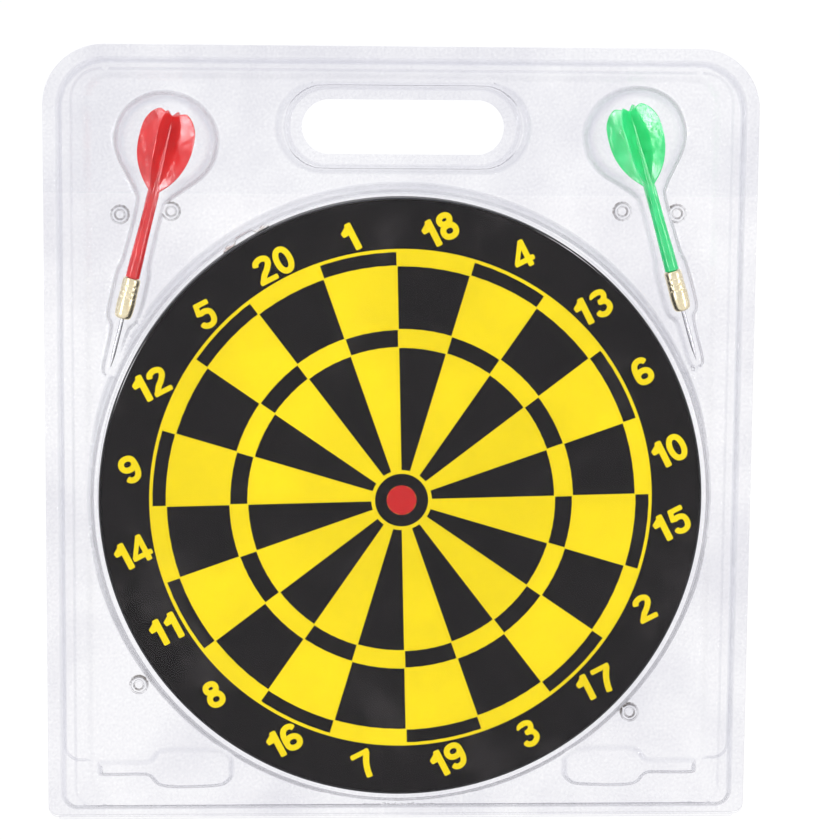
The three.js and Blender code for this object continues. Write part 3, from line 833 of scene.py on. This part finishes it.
def rim_points(points, level, shrink, end=None):
    def own(u, v):
        return rim_height(u, v, level, shrink, end)

    outer = (RIM[0] - shrink, RIM[1] - shrink, *RIM[2:])
    outer_offsets = [1.0, 0.6, 0.2, -0.2, -0.8, -1.5, -2.1, -2.7, -3.2, -3.7, -4.3]
    step_offsets = shrink + np.array([-1.2, -0.5, 0.0, 0.4, 0.8, 1.2, 1.7, 2.3])
    inside_offsets = shrink + np.array([-1.2, -0.5, 0.0, 0.5, 1.2, 1.9, 2.6, 3.2, 3.7, 4.4])
    for outline, corner_steps, offsets in (
        (outer, 16, outer_offsets), (RIM_STEP, 12, step_offsets), (RIM_INSIDE, 10, inside_offsets),
    ):
        points.add(rings(rect_columns(outline, COLUMN, corner_steps), offsets), own=own)
    if end is not None:
        across = np.arange(-RIM[0], RIM[0], 1.2)
        ups = np.arange(-2, 6, 0.6)
        ends = np.array([(c, end + up) for c in across for up in ups if abs(c) > RIM_INSIDE[0] - 2])
        points.add(ends, 0.3, own)


def bead_points(points, outer_offsets, inner_offsets, gap):
    """Points on both walls of the bead round the hand slot."""
    for size, offsets in ((BEAD_OUTER, outer_offsets), (BEAD_INNER, inner_offsets)):
        points.add(rings(stadium_columns(size, COLUMN), offsets), gap)


def front_sheet():
    points = Points(front_height)
    edge_points(points, FRONT_OUTLINE)
    radii = [
        148, 150.2, 151.0, 151.6, 152.1, 152.5, 152.9, 153.3, 153.7, 154.1, 154.6, 155.1, 155.7,
        156.4, 157.1, 157.8, 158.5, 159.4,
    ]
    points.add(circles((0, 0), radii, 420), own=lambda u, v: WALL_OF_POCKET(np.hypot(u, v)))
    for dart in DARTS.values():
        points.add(pocket_points(dart), 0.22, lambda u, v: pocket_height(u, v, dart))
    for stud in STUDS:
        radii = [0.01, 0.9, 1.6, 1.9, 2.1, 2.3, 2.7, 3.4, 4.0, 4.35, 4.55, 4.7, 4.85, 5.1, 5.6]
        points.add(circles(stud, radii, 26), 0.2)
    rim_points(points, FRONT_LEVEL, 0)
    bead_points(points, [1.0, 0.5, 0.0, -0.5, -1.1, -1.7, -2.2, -2.7],
                [-0.8, -0.3, 0.1, 0.5, 0.9, 1.3, 1.8], 0.25)
    for side in (-1, 1):
        points.add(spare_points(side), 0.3, lambda u, v: spare_height(u, v, side))
    points.add(lattice(FRONT_OUTLINE, 5), 2.2)
    return formed_sheet("front_clear_sheet", points.kept, front_height, FRONT_OUTLINE)


def rear_sheet():
    points = Points(rear_height)
    edge_points(points, CASE)
    radii = [149, 150.0, 150.5, 150.9, 151.3, 151.8, 152.6]
    points.add(circles((0, 0), radii, 240))
    for dart in DARTS.values():
        curve = POCKET_CURVE[POCKET_CURVE[:, 0] > BULB_START - 4]
        lines = []
        for share in np.sin(np.radians(np.arange(-78, 79, 12))):
            lines.append(np.stack([curve[:, 0], (curve[:, 1] - WALL) * share], axis=1))
        points.add(on_dart(np.concatenate(lines), dart), 0.5)
        columns = curve_columns(curve)
        points.add(on_dart(rings(columns, [-3.2, -2.6, -2.1, -1.6, -1.1, -0.4]), dart), 0.4)
    for stud in STUDS:
        points.add(circles(stud, [0.01, 1.2, 2.0, 2.5, 2.9, 3.2, 3.5, 4.0], 22), 0.2)
    rim_points(points, REAR_LEVEL, NEST, REAR_RIM_END + NEST)
    bead_points(points, [-0.9, -1.5, -2.1, -2.7, -3.2, -3.8, -4.4],
                [0.8, 1.4, 1.9, 2.4, 2.9, 3.4], 0.3)
    points.add(lattice(CASE, 6), 2.6)
    return formed_sheet("rear_clear_sheet", points.kept, rear_height, CASE)


def tube_along_x(name, centre, half, radius, material, slot):
    """A round bar along X with rounded ends. Its sides look inwards and its ends outwards."""
    profile = [(-half, 0.01), (-half + 0.3, radius * 0.7), (-half + 1.0, radius)]
    profile += [(-x, r) for x, r in reversed(profile)]
    count = 20
    vertices = [
        centre + Vector((x, r * math.cos(angle), r * math.sin(angle))) * MM
        for x, r in profile for angle in angles_round(count)
    ]
    *sides, first_end, last_end = tube_faces(len(profile), count)
    return piece(name, vertices, [*backwards(sides), first_end, last_end], material, slot)


def build_case():
    front = front_sheet()
    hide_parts(*FRONT_NODES)
    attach(front, "front_case")
    rear = rear_sheet()
    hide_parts("rear_shell")
    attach(rear, "rear_case")
    fold = tube_along_x("fold_bead", FOLD, CASE[0] - CASE[4], 1.05, CLEAR, "clear_sheet")
    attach(fold, "rear_case")


# ---- board ------------------------------------------------------------------------------------

NUMBERS = [18, 4, 13, 6, 10, 15, 2, 17, 3, 19, 7, 16, 8, 11, 14, 9, 12, 5, 20, 1]
FIRST_NUMBER = 7.45  # degrees clockwise from the top to the first number's middle
SECTOR = 18
BULL = 7.4
BULL_RING = 13.2
HUB = 15.1
TRIPLE = (76.3, 85.2)
DOUBLE = (116.6, 123.35)
NUMBER_RING = 125
NUMBER_RADIUS = 135.5
NUMBER_TILT = 27.5  # the numbers all stand this far anticlockwise
# The numbers stand a little off their even places: to the right and up, in their own directions.
NUMBER_SHIFTS = {
    1: (-3, -2), 2: (1.5, 3), 5: (0.5, -1.5), 9: (-1, -2), 11: (1, -1.5), 12: (-2, 0),
    13: (-0.5, -2), 14: (-1, -1.5), 15: (3, 4.5), 19: (0, 1), 20: (0, -2.5),
}
CELL_GAP = 0.25
INK = 0.06
PRINT_GAP = 0.02
PAPER = 0.4

GLYPH_HALF = 7.05
STROKE = 1.47
WEIGHT = 0.89  # of every stroke, against the widths given with the figures
SWELL = 1.03  # of every curved stroke, against its points
ROUNDNESS = 0.92  # 1 is an ellipse, and less is squarer


def oval(centre_y, rx, ry):
    angles = np.linspace(0, 2 * math.pi, 40)
    x, y = np.cos(angles), np.sin(angles)
    x, y = (np.sign(way) * np.abs(way) ** ROUNDNESS for way in (x, y))
    return np.stack([rx * x, centre_y + ry * y], 1) * SWELL, STROKE, False


def line(points, half=STROKE / WEIGHT):
    return np.array(points, float), half * WEIGHT, True


def bend(points, half=STROKE / WEIGHT):
    return spline(points, 8) * SWELL, half * WEIGHT, True


# The open stroke of a 6, and turned half round of a 9.
HOOK = [(3.1, 3.5), (2.2, 4.9), (0.2, 5.4), (-2.0, 4.4), (-3.1, 2.0), (-3.3, -1.2), (-3.1, -2.6)]

# Each figure: strokes as points about the figure's middle, its width, and the space before it.
GLYPHS = {
    "0": ([oval(0, 3.15, 5.4)], 9.6, 0.9),
    "1": ([
        line([(1.95, -7.05), (1.95, 7.05)], 1.85), line([(1.9, 5.5), (-2.6, 2.6)], 1.3),
        line([(-2.7, 2.35), (1.6, 2.5)], 1.2),
    ], 7.6, 0.6),
    "2": ([
        bend([(-3.15, 2.5), (-2.6, 4.3), (0.1, 5.4), (2.75, 4.5), (3.05, 2.3), (1.2, -0.3), (-1.3, -2.6),
              (-3.0, -5.4)]),
        line([(-4.8, -5.6), (4.8, -5.6)], 1.45),
    ], 9.6, 1.2),
    "3": ([
        bend([(-3.05, 3.2), (-2.3, 4.8), (0, 5.45), (2.3, 4.8), (2.75, 3.0), (1.6, 1.2),
              (-1.3, 0.75)], 1.6),
        bend([(-1.3, 0.75), (1.6, 0.4), (3.1, -1.2), (2.95, -3.7), (0.3, -5.45), (-2.4, -4.8),
              (-3.2, -3.0)], 1.6),
    ], 9.4, 2.0),
    "4": ([
        line([(2.2, -7.05), (2.2, 7.05)], 1.6), line([(1.7, 5.7), (-3.9, -2.9)], 1.3),
        line([(-5.2, -3.4), (5.3, -3.4)], 1.45),
    ], 10.5, 0.5),
    "5": ([
        line([(-3.5, 5.6), (4.2, 5.6)], 1.45), line([(-2.2, 5.9), (-3.0, 0.3)], 1.45),
        bend([(-3.1, 0.5), (-1.6, 1.3), (0.6, 1.6), (2.7, 0.6), (3.3, -1.9), (2.5, -4.4), (0.1, -5.45),
              (-2.3, -4.8), (-3.3, -3.1)], 1.6),
    ], 9.8, 1.5),
    "6": ([
        bend(HOOK), oval(-2.6, 3.2, 2.8),
    ], 9.7, 0.6),
    "7": ([
        line([(-5.0, 5.6), (5.0, 5.6)], 1.45),
        bend([(3.7, 5.2), (2.6, 3.4), (1.1, 0.5), (0.0, -3.0), (-0.6, -7.05)], 1.75),
    ], 10.0, 2.6),
    "8": ([oval(3.25, 2.55, 2.15), oval(-2.6, 3.1, 2.8)], 9.4, 1.0),
    "9": ([
        bend([(-x, -y) for x, y in HOOK]), oval(2.6, 3.2, 2.8),
    ], 9.7, 1.1),
}


def stroke_distance(points, stroke):
    """Signed distance to a stroke with flat ends whose corners are a little rounded."""
    path, half, flat = stroke
    best = path_distance(points, path) - half
    if not flat:
        return best
    corner = 0.7
    for end, before in ((path[0], path[1]), (path[-1], path[-2])):
        way = (end - before) / np.hypot(*(end - before))
        beyond = (points - end) @ way
        near_end = np.hypot(*(points - end).T) < 2.5 * half
        both = np.hypot(np.maximum(best + corner, 0), np.maximum(beyond + corner, 0)) - corner
        best = np.where(near_end & (beyond > -corner), np.maximum(both, best), best)
    return best


def filled(distance, low, high):
    """Triangles over the places where distance(points) is negative."""
    def lattice_of(step):
        x, y = np.meshgrid(np.arange(low[0], high[0], step), np.arange(low[1], high[1], step))
        return np.stack([x.ravel(), y.ravel()], 1)

    edge = lattice_of(0.22)
    edge = edge[np.abs(distance(edge)) < 0.22]
    nudge = 0.01
    for _ in range(4):
        d = distance(edge)
        slope = np.stack([
            (distance(edge + (nudge, 0)) - d) / nudge, (distance(edge + (0, nudge)) - d) / nudge,
        ], 1)
        size = np.maximum((slope**2).sum(1), 0.2)
        edge = edge - (d / size)[:, None] * slope
    edge = edge[np.abs(distance(edge)) < 0.02]
    _, first = np.unique(np.round(edge / 0.2), axis=0, return_index=True)
    inner = lattice_of(1.1)
    inner = inner[distance(inner) < -0.5]
    points = np.concatenate([edge[first], inner])
    vertices, _, faces = delaunay_2d_cdt([Vector(p) for p in points], [], [], 0, 1e-4)[:3]
    vertices = np.array([(p.x, p.y) for p in vertices])
    faces = np.array(faces)
    return vertices, faces[distance(vertices[faces].mean(axis=1)) < -0.01]


def glyph_mesh(figure):
    strokes = GLYPHS[figure][0]
    reach = (6.2, GLYPH_HALF + 0.6)
    return filled(
        lambda p: np.min([stroke_distance(p, stroke) for stroke in strokes], axis=0),
        (-reach[0], -reach[1]), reach,
    )


def board_point(radius, degrees):
    """(u, v) at a radius and an angle clockwise from the top."""
    angle = np.radians(degrees)
    return np.stack([radius * np.sin(angle), radius * np.cos(angle)], axis=-1)


def cell_outline(inner, outer, start, end):
    """A sector's cell, set in by the gap on all sides, with edges a printer's hand would leave."""
    inner, outer = inner + CELL_GAP, outer - CELL_GAP
    steps = max(int((end - start) * 1.2), 6)
    sides = []
    for radius, a, b in ((inner, start, end), (outer, end, start)):
        inset = math.degrees(CELL_GAP / radius) * (1 if b > a else -1)
        angles = np.linspace(a + inset, b - inset, steps)
        wobble = 0.05 * np.sin(angles * 1.7 + radius) + 0.03 * np.sin(angles * 5.1)
        sides.append(board_point(radius + wobble, angles))
    return np.concatenate(sides)


def print_layer(name, material, mesh, slot, way, depth, smooth):
    """A thin printed layer, every face looking `way` (1 forward, -1 back) before it is thickened."""
    made = piece(name, *mesh, material, slot, smooth=smooth)
    for polygon in made.data.polygons:
        if polygon.normal.y * way > 0:
            polygon.flip()
    made.data.update()
    thicken(made, depth)
    return made


def number_meshes(level):
    parts = []
    shapes = {figure: glyph_mesh(figure) for figure in GLYPHS}
    turn = math.radians(NUMBER_TILT)
    for k, number in enumerate(NUMBERS):
        centre = board_point(NUMBER_RADIUS, FIRST_NUMBER + SECTOR * k)
        figures = str(number)
        widths = [GLYPHS[figure][1] for figure in figures]
        spaces = [GLYPHS[figure][2] for figure in figures[1:]]
        shift_x, shift_y = NUMBER_SHIFTS.get(number, (0, 0))
        x = shift_x - (sum(widths) + sum(spaces)) / 2
        for i, figure in enumerate(figures):
            x += widths[i] / 2 + (spaces[i - 1] if i else 0)
            points, triangles = shapes[figure]
            a, b = points[:, 0] + x, points[:, 1] + shift_y
            u = centre[0] + a * math.cos(turn) - b * math.sin(turn)
            v = centre[1] + a * math.sin(turn) + b * math.cos(turn)
            parts.append((place(u, v, level), triangles))
            x += widths[i] / 2
    return joined(parts)


def board_rings(profile, count):
    """Rings of vertices about the board's axis, one for each (radius, level)."""
    angles = np.linspace(0, 360, count, endpoint=False)
    return np.concatenate([place(*board_point(radius, angles).T, level) for radius, level in profile])


def flat_shape(outline, level):
    """One flat face in the board's plane."""
    return place(*outline.T, level), [tuple(range(len(outline)))]


def ring_mesh(inner, outer, level):
    """A flat ring in the board's plane."""
    profile = [(radius, level) for radius in np.linspace(inner, outer, 3)]
    return board_rings(profile, 240), grid_faces(3, 240, True)


def disc_solid(name, low, high, material, slot):
    """A round sheet of paper between two levels, its rims a little rounded."""
    rim = 0.12
    profile = [
        (0.5, high), (40, high), (80, high), (NUMBER_RING, high), (FACE_RADIUS - rim, high),
        (FACE_RADIUS, high - rim), (FACE_RADIUS, low + rim), (FACE_RADIUS - rim, low), (120, low),
        (0.5, low),
    ]
    count = 180
    faces = tube_faces(len(profile), count)
    made = piece(name, board_rings(profile, count), faces, [material, BLACK], slot)
    for polygon in made.data.polygons:
        offset = polygon.center - CENTRE
        if math.hypot(offset.x, offset.z) > NUMBER_RING * MM:
            polygon.material_index = 1
    sharpen(made, 30)
    return made


def build_front_print():
    high = BOARD_FRONT - INK - PRINT_GAP
    sheet = disc_solid("front_print_sheet", high - PAPER, high, YELLOW, "front_print")
    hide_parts("front_face_sheet")
    top = high + INK
    outlines = []
    for k in range(len(NUMBERS)):
        start = FIRST_NUMBER + SECTOR * (k - 0.5)
        if k % 2 == 0:
            bands = ((HUB - CELL_GAP, TRIPLE[0]), (TRIPLE[1], DOUBLE[0]))
        else:
            bands = (TRIPLE, (DOUBLE[0], DOUBLE[1] + CELL_GAP))
        outlines += [cell_outline(*band, start, start + SECTOR) for band in bands]
    cells = [flat_shape(outline, top) for outline in outlines]
    black_rings = [ring_mesh(*radii, top) for radii in ((BULL, BULL_RING), (NUMBER_RING, FACE_RADIUS))]
    bull_radii = BULL - 0.05 + 0.07 * np.sin(np.arange(60) * 0.9)
    bull = flat_shape(board_point(bull_radii, np.arange(0, 360, 6)), top + 0.01)
    layers = [
        print_layer(name, material, mesh, "front_print", 1, INK + 0.05, smooth=False)
        for name, material, mesh in (
            ("black_flock", BLACK, joined(cells + black_rings)),
            ("number_print", YELLOW, number_meshes(top + INK)), ("bull_print", RED_INK, bull),
        )
    ]
    for made in (sheet, *layers):
        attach(made, "board")


REAR_RINGS = [(14, 30), (46, 62), (78, 94), (110, 126)]


def build_rear_print():
    low = BOARD_BACK + INK + PRINT_GAP
    sheet = disc_solid("rear_print_sheet", low, low + PAPER, BLACK, "rear_print")
    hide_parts("rear_face_sheet")
    yellow_rings = joined([ring_mesh(*radii, low - INK) for radii in REAR_RINGS])
    bull = flat_shape(board_point(7.0, np.arange(0, 360, 6)), low - INK)
    layers = [
        print_layer(name, material, mesh, "rear_print", -1, INK + 0.04, smooth=True)
        for name, material, mesh in (
            ("rear_ring_print", YELLOW, yellow_rings), ("rear_bull_print", RED_INK, bull),
        )
    ]
    for made in (sheet, *layers):
        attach(made, "board")


def build_band():
    """The tape round the rim, rolled a little over both faces."""
    outer, inner = BOARD_RADIUS, BOARD_RADIUS - BAND_THICKNESS
    front, back = BOARD_FRONT, BOARD_BACK
    profile = [
        (inner, front - 0.1), (inner + 0.2, front), (outer - 0.35, front), (outer - 0.1, front - 0.12),
        (outer, front - 0.4), (outer, 12), (outer, 8), (outer, 4), (outer, back + 0.4),
        (outer - 0.1, back + 0.12), (outer - 0.35, back), (inner + 0.2, back), (inner, back + 0.1),
    ]
    count = 240
    faces = grid_faces(len(profile) + 1, count, True)
    total = count * len(profile)
    faces = [tuple(i % total for i in face) for face in faces]
    made = piece("edge_tape", board_rings(profile, count), faces, BAND, "edge_band")
    sharpen(made, 40)
    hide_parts("edge_band")
    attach(made, "board")


HANGER_ANGLE = -31
HANGER_HALF = 13
HANGER_BACK = 1.5
HANGER_FRONT = 8.5
HANGER_THICKNESS = 0.8
HANGER_BRIDGE = 2.2
NAIL_OFFSET = 10
HANGER_EDGE = 0.18
HANGER_CORNER = 2.0  # radius of the strip's corners
GAP = 0.3


def hanger_rise(along):
    """How far the strip stands off the rim, from its flat feet to its raised middle."""
    t = np.clip((6.8 - np.abs(along)) / 3.0, 0, 1)
    return HANGER_BRIDGE * t * t * (3 - 2 * t)


def build_hanger():
    """A bent strip with two domed nails."""
    alongs = np.linspace(-HANGER_HALF, HANGER_HALF, 66)
    middle = (HANGER_BACK + HANGER_FRONT) / 2
    half_width = (HANGER_FRONT - HANGER_BACK) / 2
    edge, top = HANGER_EDGE, HANGER_THICKNESS
    vertices = []
    for along in alongs:
        base = BOARD_RADIUS + GAP + hanger_rise(along)
        round_off = max(abs(along) - (HANGER_HALF - HANGER_CORNER), 0) / HANGER_CORNER
        half = half_width - HANGER_CORNER * (1 - math.sqrt(max(1 - round_off**2, 0)))
        section = [
            (-half, edge), (-half + edge, 0), (half - edge, 0), (half, edge),
            (half, top - edge), (half - edge, top), (-half + edge, top), (-half, top - edge),
        ]
        degrees = HANGER_ANGLE + math.degrees(along / BOARD_RADIUS)
        for across, height in section:
            uv = board_point(base + height, degrees)
            vertices.append(place(uv[0], uv[1], middle + across))
    faces = tube_faces(len(alongs), len(section))
    strip = piece("hanger_strip", vertices, faces, PLATED, "hanger_steel")
    sharpen(strip, 35)
    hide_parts("hanger_bracket")
    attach(strip, "board")
    seat = BOARD_RADIUS + 2 * GAP + HANGER_THICKNESS
    profile = [
        (0.02, seat - 11), (0.6, seat - 9), (0.6, seat), (1.6, seat), (1.7, seat + 0.1),
        (1.62, seat + 0.35), (1.3, seat + 0.62), (0.8, seat + 0.82), (0.02, seat + 0.9),
    ]
    for name, side in (("left", -1), ("right", 1)):
        degrees = HANGER_ANGLE + math.degrees(side * NAIL_OFFSET / BOARD_RADIUS)
        up = board_point(1, degrees)
        out = Vector((up[0], 0, up[1]))
        across = Vector((0, -1, 0))
        matrix = Matrix((across, out, across.cross(out))).transposed().to_4x4()
        matrix.translation = Vector(place(0, 0, middle))
        nail = turned(f"hanger_nail_{name}_head", profile, 24, PLATED, "hanger_steel", matrix)
        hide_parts(f"hanger_nail_{name}")
        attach(nail, "board")


def turned(name, profile, count, material, slot, matrix, sharp=35):
    """A solid of revolution about its own Y from (radius, height) points. Its faces look inwards."""
    vertices = np.concatenate([ring_about_y(radius, y, angles_round(count)) for radius, y in profile])
    made = piece(name, vertices, tube_faces(len(profile), count), material, slot, matrix)
    sharpen(made, sharp)
    return made


def ring_about_y(radius, y, angles):
    """Vertices in metres at a radius, or at one radius for each angle, about Y."""
    ring = np.broadcast_arrays(radius * np.cos(angles), y, radius * np.sin(angles))
    return np.stack(ring, axis=-1) * MM


def build_board():
    build_front_print()
    build_rear_print()
    build_band()
    build_hanger()
    for object_ in bpy.context.scene.objects:
        if object_.name.startswith("board_core"):
            object_.data.materials.clear()
            object_.data.materials.append(CORE)


# ---- darts ------------------------------------------------------------------------------------

FIN_RADIUS = 15
FIN_LEADING = [(1.0, 89), (4.2, 92), (8.0, 96), (11.4, 101), (13.9, 107), (FIN_RADIUS, 113)]
FIN_TRAILING = [
    (0.2, 128.6), (2.4, 129.4), (6.4, 131), (8.6, 130.4), (11.4, 128), (13.8, 124), (14.8, 119),
    (FIN_RADIUS, 113),
]
FIN_BOWS = (1.1, -0.8, 1.0, -0.9)
KNURL_ROWS = [36.9, 39.7, 42.5]
KNURLS = 12
KNURL_STAGGER = 0.12  # radians between one row's dents and the next


def dart_matrix(dart):
    """From a dart's own frame, its point at the origin and its length along Y, to the frame."""
    joint = joints[dart["joint"]]
    along = Vector(joint["axis"])
    front = Vector((0, -1, 0))
    across = along.cross(front)
    matrix = Matrix((across, along, front)).transposed().to_4x4()
    matrix.translation = Vector(joint["pos_m"])
    return matrix @ Matrix.Rotation(-math.radians(dart["roll"]), 4, "Y")


def fin(turn, bow):
    """One vane, thicker at its root, with rounded edges and a slight bow. Its faces look inwards."""
    leading = spline(FIN_LEADING, 8)
    trailing = spline(FIN_TRAILING, 8)
    radii = 0.3 + (FIN_RADIUS - 0.32) * np.sin(np.linspace(0, math.pi / 2, 30))
    shares = (1 - np.cos(np.linspace(0, math.pi, 44))) / 2
    low = np.interp(radii, leading[:, 0], leading[:, 1])
    high = np.interp(radii, trailing[:, 0], trailing[:, 1])
    r, t = np.meshgrid(radii, shares, indexing="ij")
    s = low[:, None] + (high - low)[:, None] * t
    inset = np.minimum(np.minimum(t, 1 - t) * (high - low)[:, None], (FIN_RADIUS - r) * 1.5 + 0.02)
    body = 0.62 - 0.3 * r / FIN_RADIUS
    half = body * np.sqrt(1 - (1 - np.clip(inset / body, 0, 1)) ** 2)
    middle = bow * (r / FIN_RADIUS) ** 2 * np.sin((s - 86) / 46 * math.pi)
    middle = middle + 0.25 * np.sin(s / 5 + turn) * (r / FIN_RADIUS) ** 3
    vertices = []
    for side in (1, -1):
        z = middle + side * half
        x = r * math.cos(turn) - z * math.sin(turn)
        y = r * math.sin(turn) + z * math.cos(turn)
        vertices.append(np.stack([x, s, y], axis=-1).reshape(-1, 3) * MM)
    rows, columns = r.shape
    front_faces = grid_faces(rows, columns, False)
    offset = rows * columns
    back_faces = [tuple(i + offset for i in face) for face in backwards(front_faces)]
    border = (
        list(range(columns)) + [i * columns + columns - 1 for i in range(1, rows)]
        + [(rows - 1) * columns + j for j in range(columns - 2, -1, -1)]
        + [i * columns for i in range(rows - 2, 0, -1)]
    )
    rim = [
        (border[k], border[k - 1], border[k - 1] + offset, border[k] + offset)
        for k in range(len(border))
    ]
    return np.concatenate(vertices), front_faces + back_faces + rim


def stem_mesh():
    """The tapering stem. Four low ridges rise on it towards the vanes."""
    profile = spline([
        (2.2, 39.5), (2.2, 43), (2.2, 46.4), (2.6, 46.85), (3.35, 46.95), (3.5, 47.4), (3.45, 52),
        (3.4, 57), (3.05, 70), (2.6, 86), (2.2, 93), (1.9, 100), (1.5, 112), (1.2, 122), (0.7, 127),
        (0.05, 127.6),
    ], 4)
    count = 48
    angles = angles_round(count)
    apart = np.abs((angles + math.pi / 4) % (math.pi / 2) - math.pi / 4)
    vertices = []
    for r, s in profile:
        rise = 0.75 * np.clip((s - 58) / 32, 0, 1) ** 1.5 if s <= 124 else 0
        vertices.append(ring_about_y(r + rise * np.exp(-((apart / 0.24) ** 2)), s, angles))
    return np.concatenate(vertices), backwards(tube_faces(len(profile), count))


def barrel_mesh():
    """The brass barrel: a rounded nose, a smooth body, and rows of small dents near the stem."""
    outline = np.array([
        (1.3, 34.2), (1.3, 26.2), (1.5, 26.0), (2.4, 26.0), (3.3, 26.35), (3.95, 27.1), (4.3, 28.3),
        (4.5, 30.5), (4.6, 33), (4.6, 35.2), (4.52, 35.5),
    ])
    upper = [(4.5 - 0.1 * (s - 35.5) / 11, s) for s in np.arange(35.7, 45.3, 0.2)]
    ending = [
        (4.35, 45.5), (4.2, 46.1), (3.95, 46.45), (3.7, 46.5), (2.5, 46.5), (2.5, 39.4), (0.05, 39.3),
    ]
    profile = np.concatenate([outline, upper, ending])
    count = 96
    angles = angles_round(count)
    cell = 2 * math.pi / KNURLS
    vertices = []
    for r, s in profile:
        radius = np.full(count, r)
        if 35.6 < s < 45.4:
            for k, row in enumerate(KNURL_ROWS):
                apart = np.abs((angles + k * KNURL_STAGGER) % cell - cell / 2) * r
                radius -= 0.36 * np.exp(-((apart / 0.44) ** 2) - ((s - row) / 0.42) ** 2)
                radius -= 0.12 * math.exp(-(((s - row) / 0.4) ** 2))
        vertices.append(ring_about_y(radius, s, angles))
    return np.concatenate(vertices), backwards(tube_faces(len(profile), count))


NEEDLE_PROFILE = [
    (0.01, 0.02), (0.12, 0.5), (0.3, 1.8), (0.55, 3.6), (0.78, 5.6), (0.93, 7.6), (1.0, 9.5),
    (1.0, 15), (1.0, 21), (1.0, 27), (1.0, 33.8), (0.8, 34), (0.01, 34),
]


def build_dart(colour, material):
    dart = DARTS[colour]
    matrix = dart_matrix(dart)
    fins = [fin(k * math.pi / 2, bow) for k, bow in enumerate(FIN_BOWS)]
    flight_mesh = joined([stem_mesh(), *fins])
    flight = piece(f"{colour}_flight", *flight_mesh, material, f"{colour}_plastic", matrix)
    sharpen(flight, 50)
    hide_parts(f"{colour}_flight_and_stem")
    body = piece(f"{colour}_barrel_brass", *barrel_mesh(), BRASS, "barrel_brass", matrix)
    sharpen(body, 45)
    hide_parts(f"{colour}_barrel")
    pin = turned(f"{colour}_needle_steel", NEEDLE_PROFILE, 24, STEEL, "needle_steel", matrix, 40)
    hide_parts(f"{colour}_needle")
    for made in (flight, body, pin):
        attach(made, dart["body"])


# ---- camera, light and floor ------------------------------------------------------------------

FLOOR_GLOW = 0.83  # so that the floor meets the white background without an edge
FLOOR_DROP = 0.42  # the case hangs, with room below it for its front half to swing down
WORLD_FRONT = 0.93
WORLD_BACK = 1.03
CAMERA_AZIMUTH = -3.0
CAMERA_ELEVATION = 7.6
CAMERA_DISTANCE = 1.39
CAMERA_LENS = 120.3
CAMERA_ROLL = 0.5
CAMERA_AIM = Vector((0.0088, band_low.y, CENTRE.z + 0.0402))


def way_from_object(azimuth, elevation):
    a, e = math.radians(azimuth), math.radians(elevation)
    return Vector((math.sin(a) * math.cos(e), -math.cos(a) * math.cos(e), math.sin(e)))


def build_camera():
    data = bpy.data.cameras.new("camera")
    data.lens = CAMERA_LENS
    data.sensor_width = 36
    camera = bpy.data.objects.new("camera", data)
    bpy.context.scene.collection.objects.link(camera)
    back = way_from_object(CAMERA_AZIMUTH, CAMERA_ELEVATION)
    camera.location = CAMERA_AIM + back * CAMERA_DISTANCE
    camera.rotation_mode = "QUATERNION"
    level = (-back).to_track_quat("-Z", "Y").to_matrix()
    turned_level = level @ Matrix.Rotation(math.radians(CAMERA_ROLL), 3, "Z")
    camera.rotation_quaternion = turned_level.to_quaternion()
    bpy.context.scene.camera = camera


LIGHTS = {  # azimuth, elevation, distance, width, height, power
    "key": (-48, 40, 1.5, 0.35, 0.8, 2.5),
    "left_strip": (-46, 0, 1.5, 0.13, 0.9, 5),
    "right_strip": (52, 4, 1.5, 0.13, 0.9, 5),
    "top": (5, 80, 1.4, 1.6, 0.8, 6),
}


def area_light(name, azimuth, elevation, distance, width, height, power):
    data = bpy.data.lights.new(name, "AREA")
    data.shape = "RECTANGLE"
    data.size, data.size_y, data.energy = width, height, power
    light = bpy.data.objects.new(name, data)
    bpy.context.scene.collection.objects.link(light)
    light.visible_camera = False
    back = way_from_object(azimuth, elevation)
    light.location = Vector((0, 0, CENTRE.z)) + back * distance
    light.rotation_mode = "QUATERNION"
    light.rotation_quaternion = (-back).to_track_quat("-Z", "Y")


def build_world():
    """A white studio, dimmer behind the camera so that the black print stays black."""
    world = bpy.data.worlds.new("studio")
    world.use_nodes = True
    nodes, links = world.node_tree.nodes, world.node_tree.links
    background = nodes["Background"]
    background.inputs["Color"].default_value = (0.985, 0.99, 1.0, 1)
    way = nodes.new("ShaderNodeTexCoord")
    split = nodes.new("ShaderNodeSeparateXYZ")
    links.new(way.outputs["Generated"], split.inputs[0])
    level = nodes.new("ShaderNodeMapRange")
    level.interpolation_type = "SMOOTHSTEP"
    for key, value in ((1, -0.55), (2, 0.1), (3, WORLD_FRONT), (4, WORLD_BACK)):
        level.inputs[key].default_value = value
    links.new(split.outputs["Y"], level.inputs[0])
    links.new(level.outputs[0], background.inputs["Strength"])
    bpy.context.scene.world = world
    bpy.context.scene.view_settings.view_transform = "Standard"
    bpy.context.scene.cycles.transparent_max_bounces = 32


def build_floor():
    size = 14.0
    level = cad_box[0].z - FLOOR_DROP
    corners = [(-size, -size, level), (size, -size, level), (size, size, level), (-size, size, level)]
    shade = Shade("floor")
    tone = shade.mix(shade.noise(3, 2.0), (0.15, 0.15, 0.15), (0.17, 0.17, 0.17))
    material = shade.principled({
        "Base Color": tone, "Roughness": 0.9, "Emission Color": (1, 1, 1, 1),
        "Emission Strength": FLOOR_GLOW,
    })
    floor = piece("floor", corners, [(0, 1, 2, 3)], material)


build_camera()
build_world()
for light_name, settings in LIGHTS.items():
    area_light(light_name, *settings)
build_floor()
build_case()
build_board()
build_dart("red", RED_PLASTIC)
build_dart("green", GREEN_PLASTIC)
